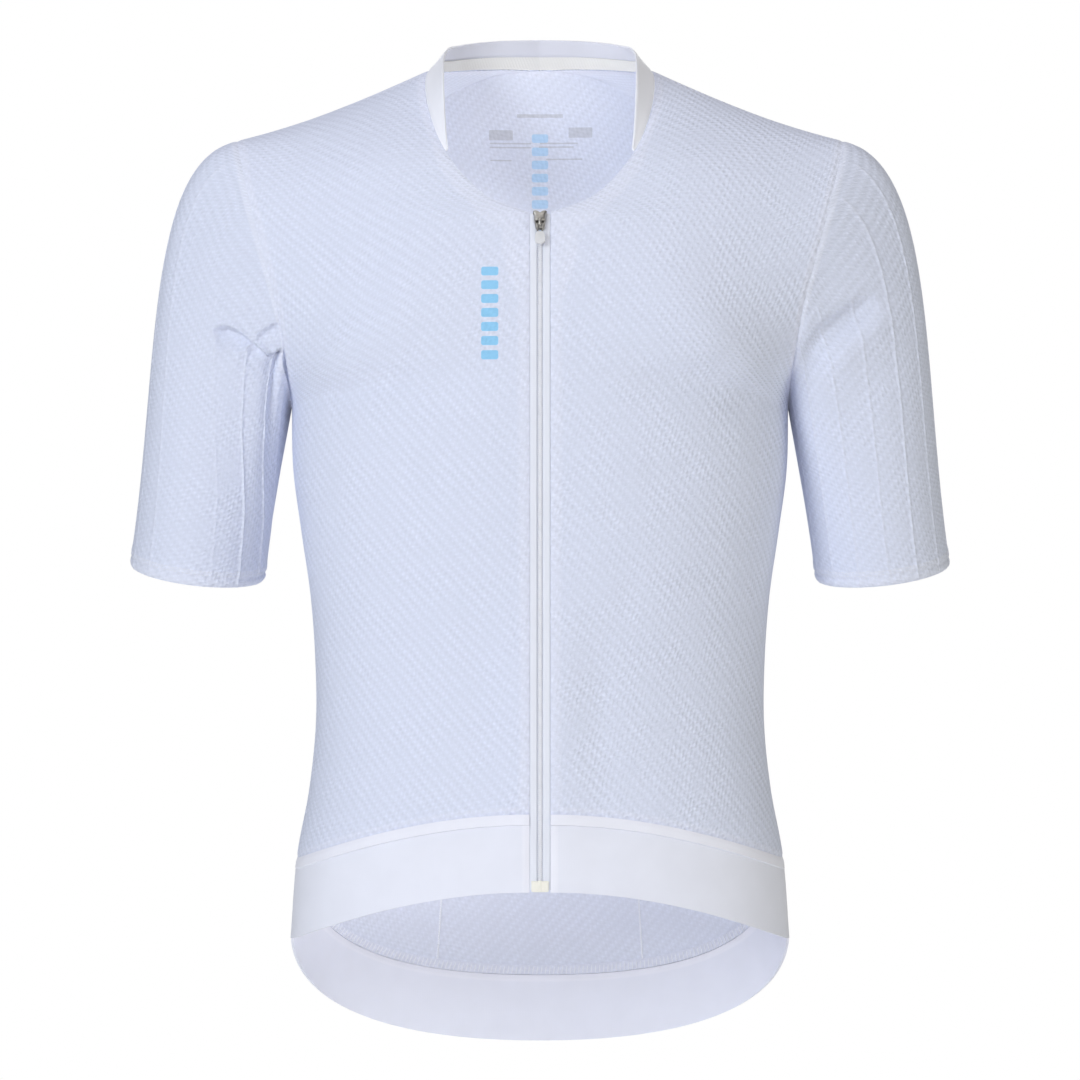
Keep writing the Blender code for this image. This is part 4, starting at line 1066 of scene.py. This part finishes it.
# the slider: a shaped plate with curled flanges in front, its twin behind, and the post between them. half is
# the plate's half width by distance from its top; plates are (depth, curl); slot is its half width and its
# place down the plate; blocks and bail are given as x, z and depth, and each block ends with its bevel
slider = {"length": 13, "notch": 1.3, "notchHalf": 2.1, "notchFade": 6, "curlFrom": 0.62, "wall": 0.9,
          "bevel": 0.22, "grid": (12, 16), "slot": (0.7, 0.65),
          "half": ((0, 5.0), (1.5, 5.0), (2.4, 4.3), (7, 4.2), (10, 3.5), (12.4, 3.1), (13, 2.5)),
          "plates": {"frontPlate": (-3.3, 1.7), "rearPlate": (0.7, -0.9)},
          "blocks": {"post": ((-1.1, -107, -2.8), (1.1, -104.1, 1.2), 0.3),
                     "crown": ((-3.2, -109.3, -4.7), (3.2, -103.9, -3.1), 0.75),
                     "lug": ((-2.9, -113.9, -3.5), (2.9, -110.9, -3.1), 0.15)},
          "bail": ((0, -107.4, -4.0), (0, -107.8, -4.9), (0, -108.6, -5.4), (0, -109.6, -5.45),
                   (0, -111, -5.45), (0, -112.7, -5.2), (0, -113.1, -4.3), (0, -113.1, -3.0)),
          "bailWire": 0.45, "bailWide": 2.1}
sliderMiddle = (zipper["sliderTop"] + zipper["sliderFoot"]) / 2


def editMode(on):
    bpy.ops.object.mode_set(mode="EDIT" if on else "OBJECT")


def newGrid(columns, rows):
    return newShape(bpy.ops.mesh.primitive_grid_add, x_subdivisions=columns, y_subdivisions=rows, size=2)


def sliderPlate(level, curl):
    plate = newGrid(*slider["grid"])
    spots = [(v.co.x, (1 - v.co.y) / 2) for v in plate.data.vertices]
    if level < 0:
        # the slot across the front plate, under the crown
        half, middle = slider["slot"]
        cut = [abs(share) < half and abs(down - middle) < 0.05 for share, down in spots]
        spots = [spot for spot, gone in zip(spots, cut) if not gone]
        editMode(True)
        bpy.ops.mesh.select_mode(type="VERT")
        bpy.ops.mesh.select_all(action="DESELECT")
        editMode(False)
        for v, gone in zip(plate.data.vertices, cut):
            v.select = gone
        editMode(True)
        bpy.ops.mesh.delete(type="VERT")
        editMode(False)
    local = []
    for share, down in spots:
        down *= slider["length"]
        x = share * float(np.interp(down, *zip(*slider["half"])))
        nick = max(0, 1 - abs(x) / slider["notchHalf"]) * max(0, 1 - down / slider["notchFade"])
        edge = max(0, abs(share) - slider["curlFrom"]) / (1 - slider["curlFrom"])
        local.append((x, zipper["sliderTop"] - down - slider["notch"] * nick,
                      level + curl * (1 - math.sqrt(max(0, 1 - edge * edge)))))
    setVertices(plate, local, sliderMiddle)
    return plate


def joinAll(name, parts, finish, body, node=None, recalc=True):
    bpy.ops.object.select_all(action="DESELECT")
    for part in parts:
        part.select_set(True)
    bpy.context.view_layer.objects.active = parts[0]
    if len(parts) > 1:
        bpy.ops.object.join()
    made = bpy.context.object
    made.name = made.data.name = name
    made.data.materials.clear()
    made.data.materials.append(finish)
    if recalc:
        editMode(True)
        bpy.ops.mesh.select_all(action="SELECT")
        bpy.ops.mesh.normals_make_consistent(inside=False)
        editMode(False)
    bpy.ops.object.shade_smooth_by_angle(angle=math.radians(35))
    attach(made, body)
    if node:
        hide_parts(node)
    return made


def wireLoop(name, path, height, radius, closed):
    # a round wire along points given as x, z and depth
    curve = bpy.data.curves.new(name, "CURVE")
    curve.dimensions, curve.bevel_depth, curve.bevel_resolution = "3D", radius * mm, 3
    curve.use_fill_caps = True
    spline = curve.splines.new("NURBS")
    spline.points.add(len(path) - 1)
    for point, spot in zip(spline.points, setOn(path, height)):
        point.co = (*spot, 1)
    spline.use_cyclic_u, spline.order_u, spline.resolution_u = closed, 3, 6
    spline.use_endpoint_u = not closed
    made = bpy.data.objects.new(name, curve)
    bpy.context.scene.collection.objects.link(made)
    selectOnly(made)
    bpy.ops.object.convert(target="MESH")
    return bpy.context.object


def block(low, high, bevel, height):
    # a bevelled block given by its corners as x, z and depth
    made = newShape(bpy.ops.mesh.primitive_cube_add, size=1)
    low, high = np.array(low, float), np.array(high, float)
    setVertices(made, [(low + high) / 2 + np.array(v.co[:]) * (high - low) for v in made.data.vertices],
                height)
    applyModifier(made, "BEVEL", width=bevel * mm, segments=3, limit_method="NONE")
    return made


def plateWall(piece, wall, offset, bevel, segments):
    # a wall on one side of a shaped face, with its edges rounded
    applyModifier(piece, "SOLIDIFY", thickness=wall * mm, offset=offset)
    applyModifier(piece, "BEVEL", width=bevel * mm, segments=segments, limit_method="ANGLE",
                  angle_limit=math.radians(50))
    return piece


parts = [plateWall(sliderPlate(level, curl), slider["wall"], -1 if level < 0 else 1, slider["bevel"], 2)
         for level, curl in slider["plates"].values()]
parts += [block(*sizes, sliderMiddle) for sizes in slider["blocks"].values()]
bail = wireLoop("bail", slider["bail"], sliderMiddle, slider["bailWire"], False)
for v in bail.data.vertices:
    v.co.x *= slider["bailWide"]
joinAll("zipSlider", parts + [bail], gunmetalPlate, jersey, "zip_slider")

# the pull: a wire eye under the bail, moulded into a small clear tab
pullTab = {"top": -117.4, "foot": -126.6, "level": -4.1, "wall": 1.3, "bevel": 0.4, "grid": (10, 16),
           "half": ((0, 1.9), (0.8, 2.7), (2.4, 3.25), (6.5, 3.5), (8.0, 3.3), (8.8, 2.6), (9.2, 1.6)),
           "dish": 0.25, "dishPlace": 5, "dishLength": 2.6, "eyeWire": 0.42,
           "eye": ((-1.75, -112.2), (-1.3, -111.5), (1.3, -111.5), (1.75, -112.2), (1.8, -116), (1.5, -119.3),
                   (0, -120.1), (-1.5, -119.3), (-1.8, -116))}
eye = wireLoop("pullEye", [(x, z, pullTab["level"]) for x, z in pullTab["eye"]], sliderMiddle,
               pullTab["eyeWire"], True)
joinAll("pullEye", [eye], gunmetalPlate, pullBody)
tab = newGrid(*pullTab["grid"])
local = []
for v in tab.data.vertices:
    down = (1 - v.co.y) / 2 * (pullTab["top"] - pullTab["foot"])
    half = float(np.interp(down, *zip(*pullTab["half"])))
    dish = math.exp(-((down - pullTab["dishPlace"]) / pullTab["dishLength"])**2) * pullTab["dish"]
    local.append((v.co.x * half, pullTab["top"] - down,
                  pullTab["level"] - pullTab["wall"] / 2 + dish * math.cos(math.pi * v.co.x / 2)))
setVertices(tab, local, sliderMiddle)
plateWall(tab, pullTab["wall"], -1, pullTab["bevel"], 3)
joinAll("pullTab", [tab], clearRubber, pullBody, "zip_pull")

# the retainer box: a rounded block with the insert pin's rib and the seam between its halves
boxBlocks = {"body": ((-6, -575.5, -0.9), (6, -568, 1.6), 0.5),
             "rib": ((-1.1, -575.2, -1.25), (1.1, -567.6, 0), 0.3),
             "lip": ((-6.1, -569.4, -1.15), (6.1, -568.2, 0), 0.3),
             "foot": ((-5.2, -575.7, -1.1), (5.2, -574.5, 0), 0.3)}
boxMiddle = (zipper["boxTop"] + zipper["boxFoot"]) / 2
joinAll("zipBox", [block(*sizes, boxMiddle) for sizes in boxBlocks.values()], boxPlastic, jersey, "zip_box",
        recalc=False)
print("zip made")


floor = newShape(bpy.ops.mesh.primitive_circle_add, vertices=96, radius=studio["floorRadius"],
                 fill_type="NGON", location=(0, 0, studio["floor"]))
floor.name = "studioFloor"
floor.data.materials.append(paleFloor)

print("all pieces made")
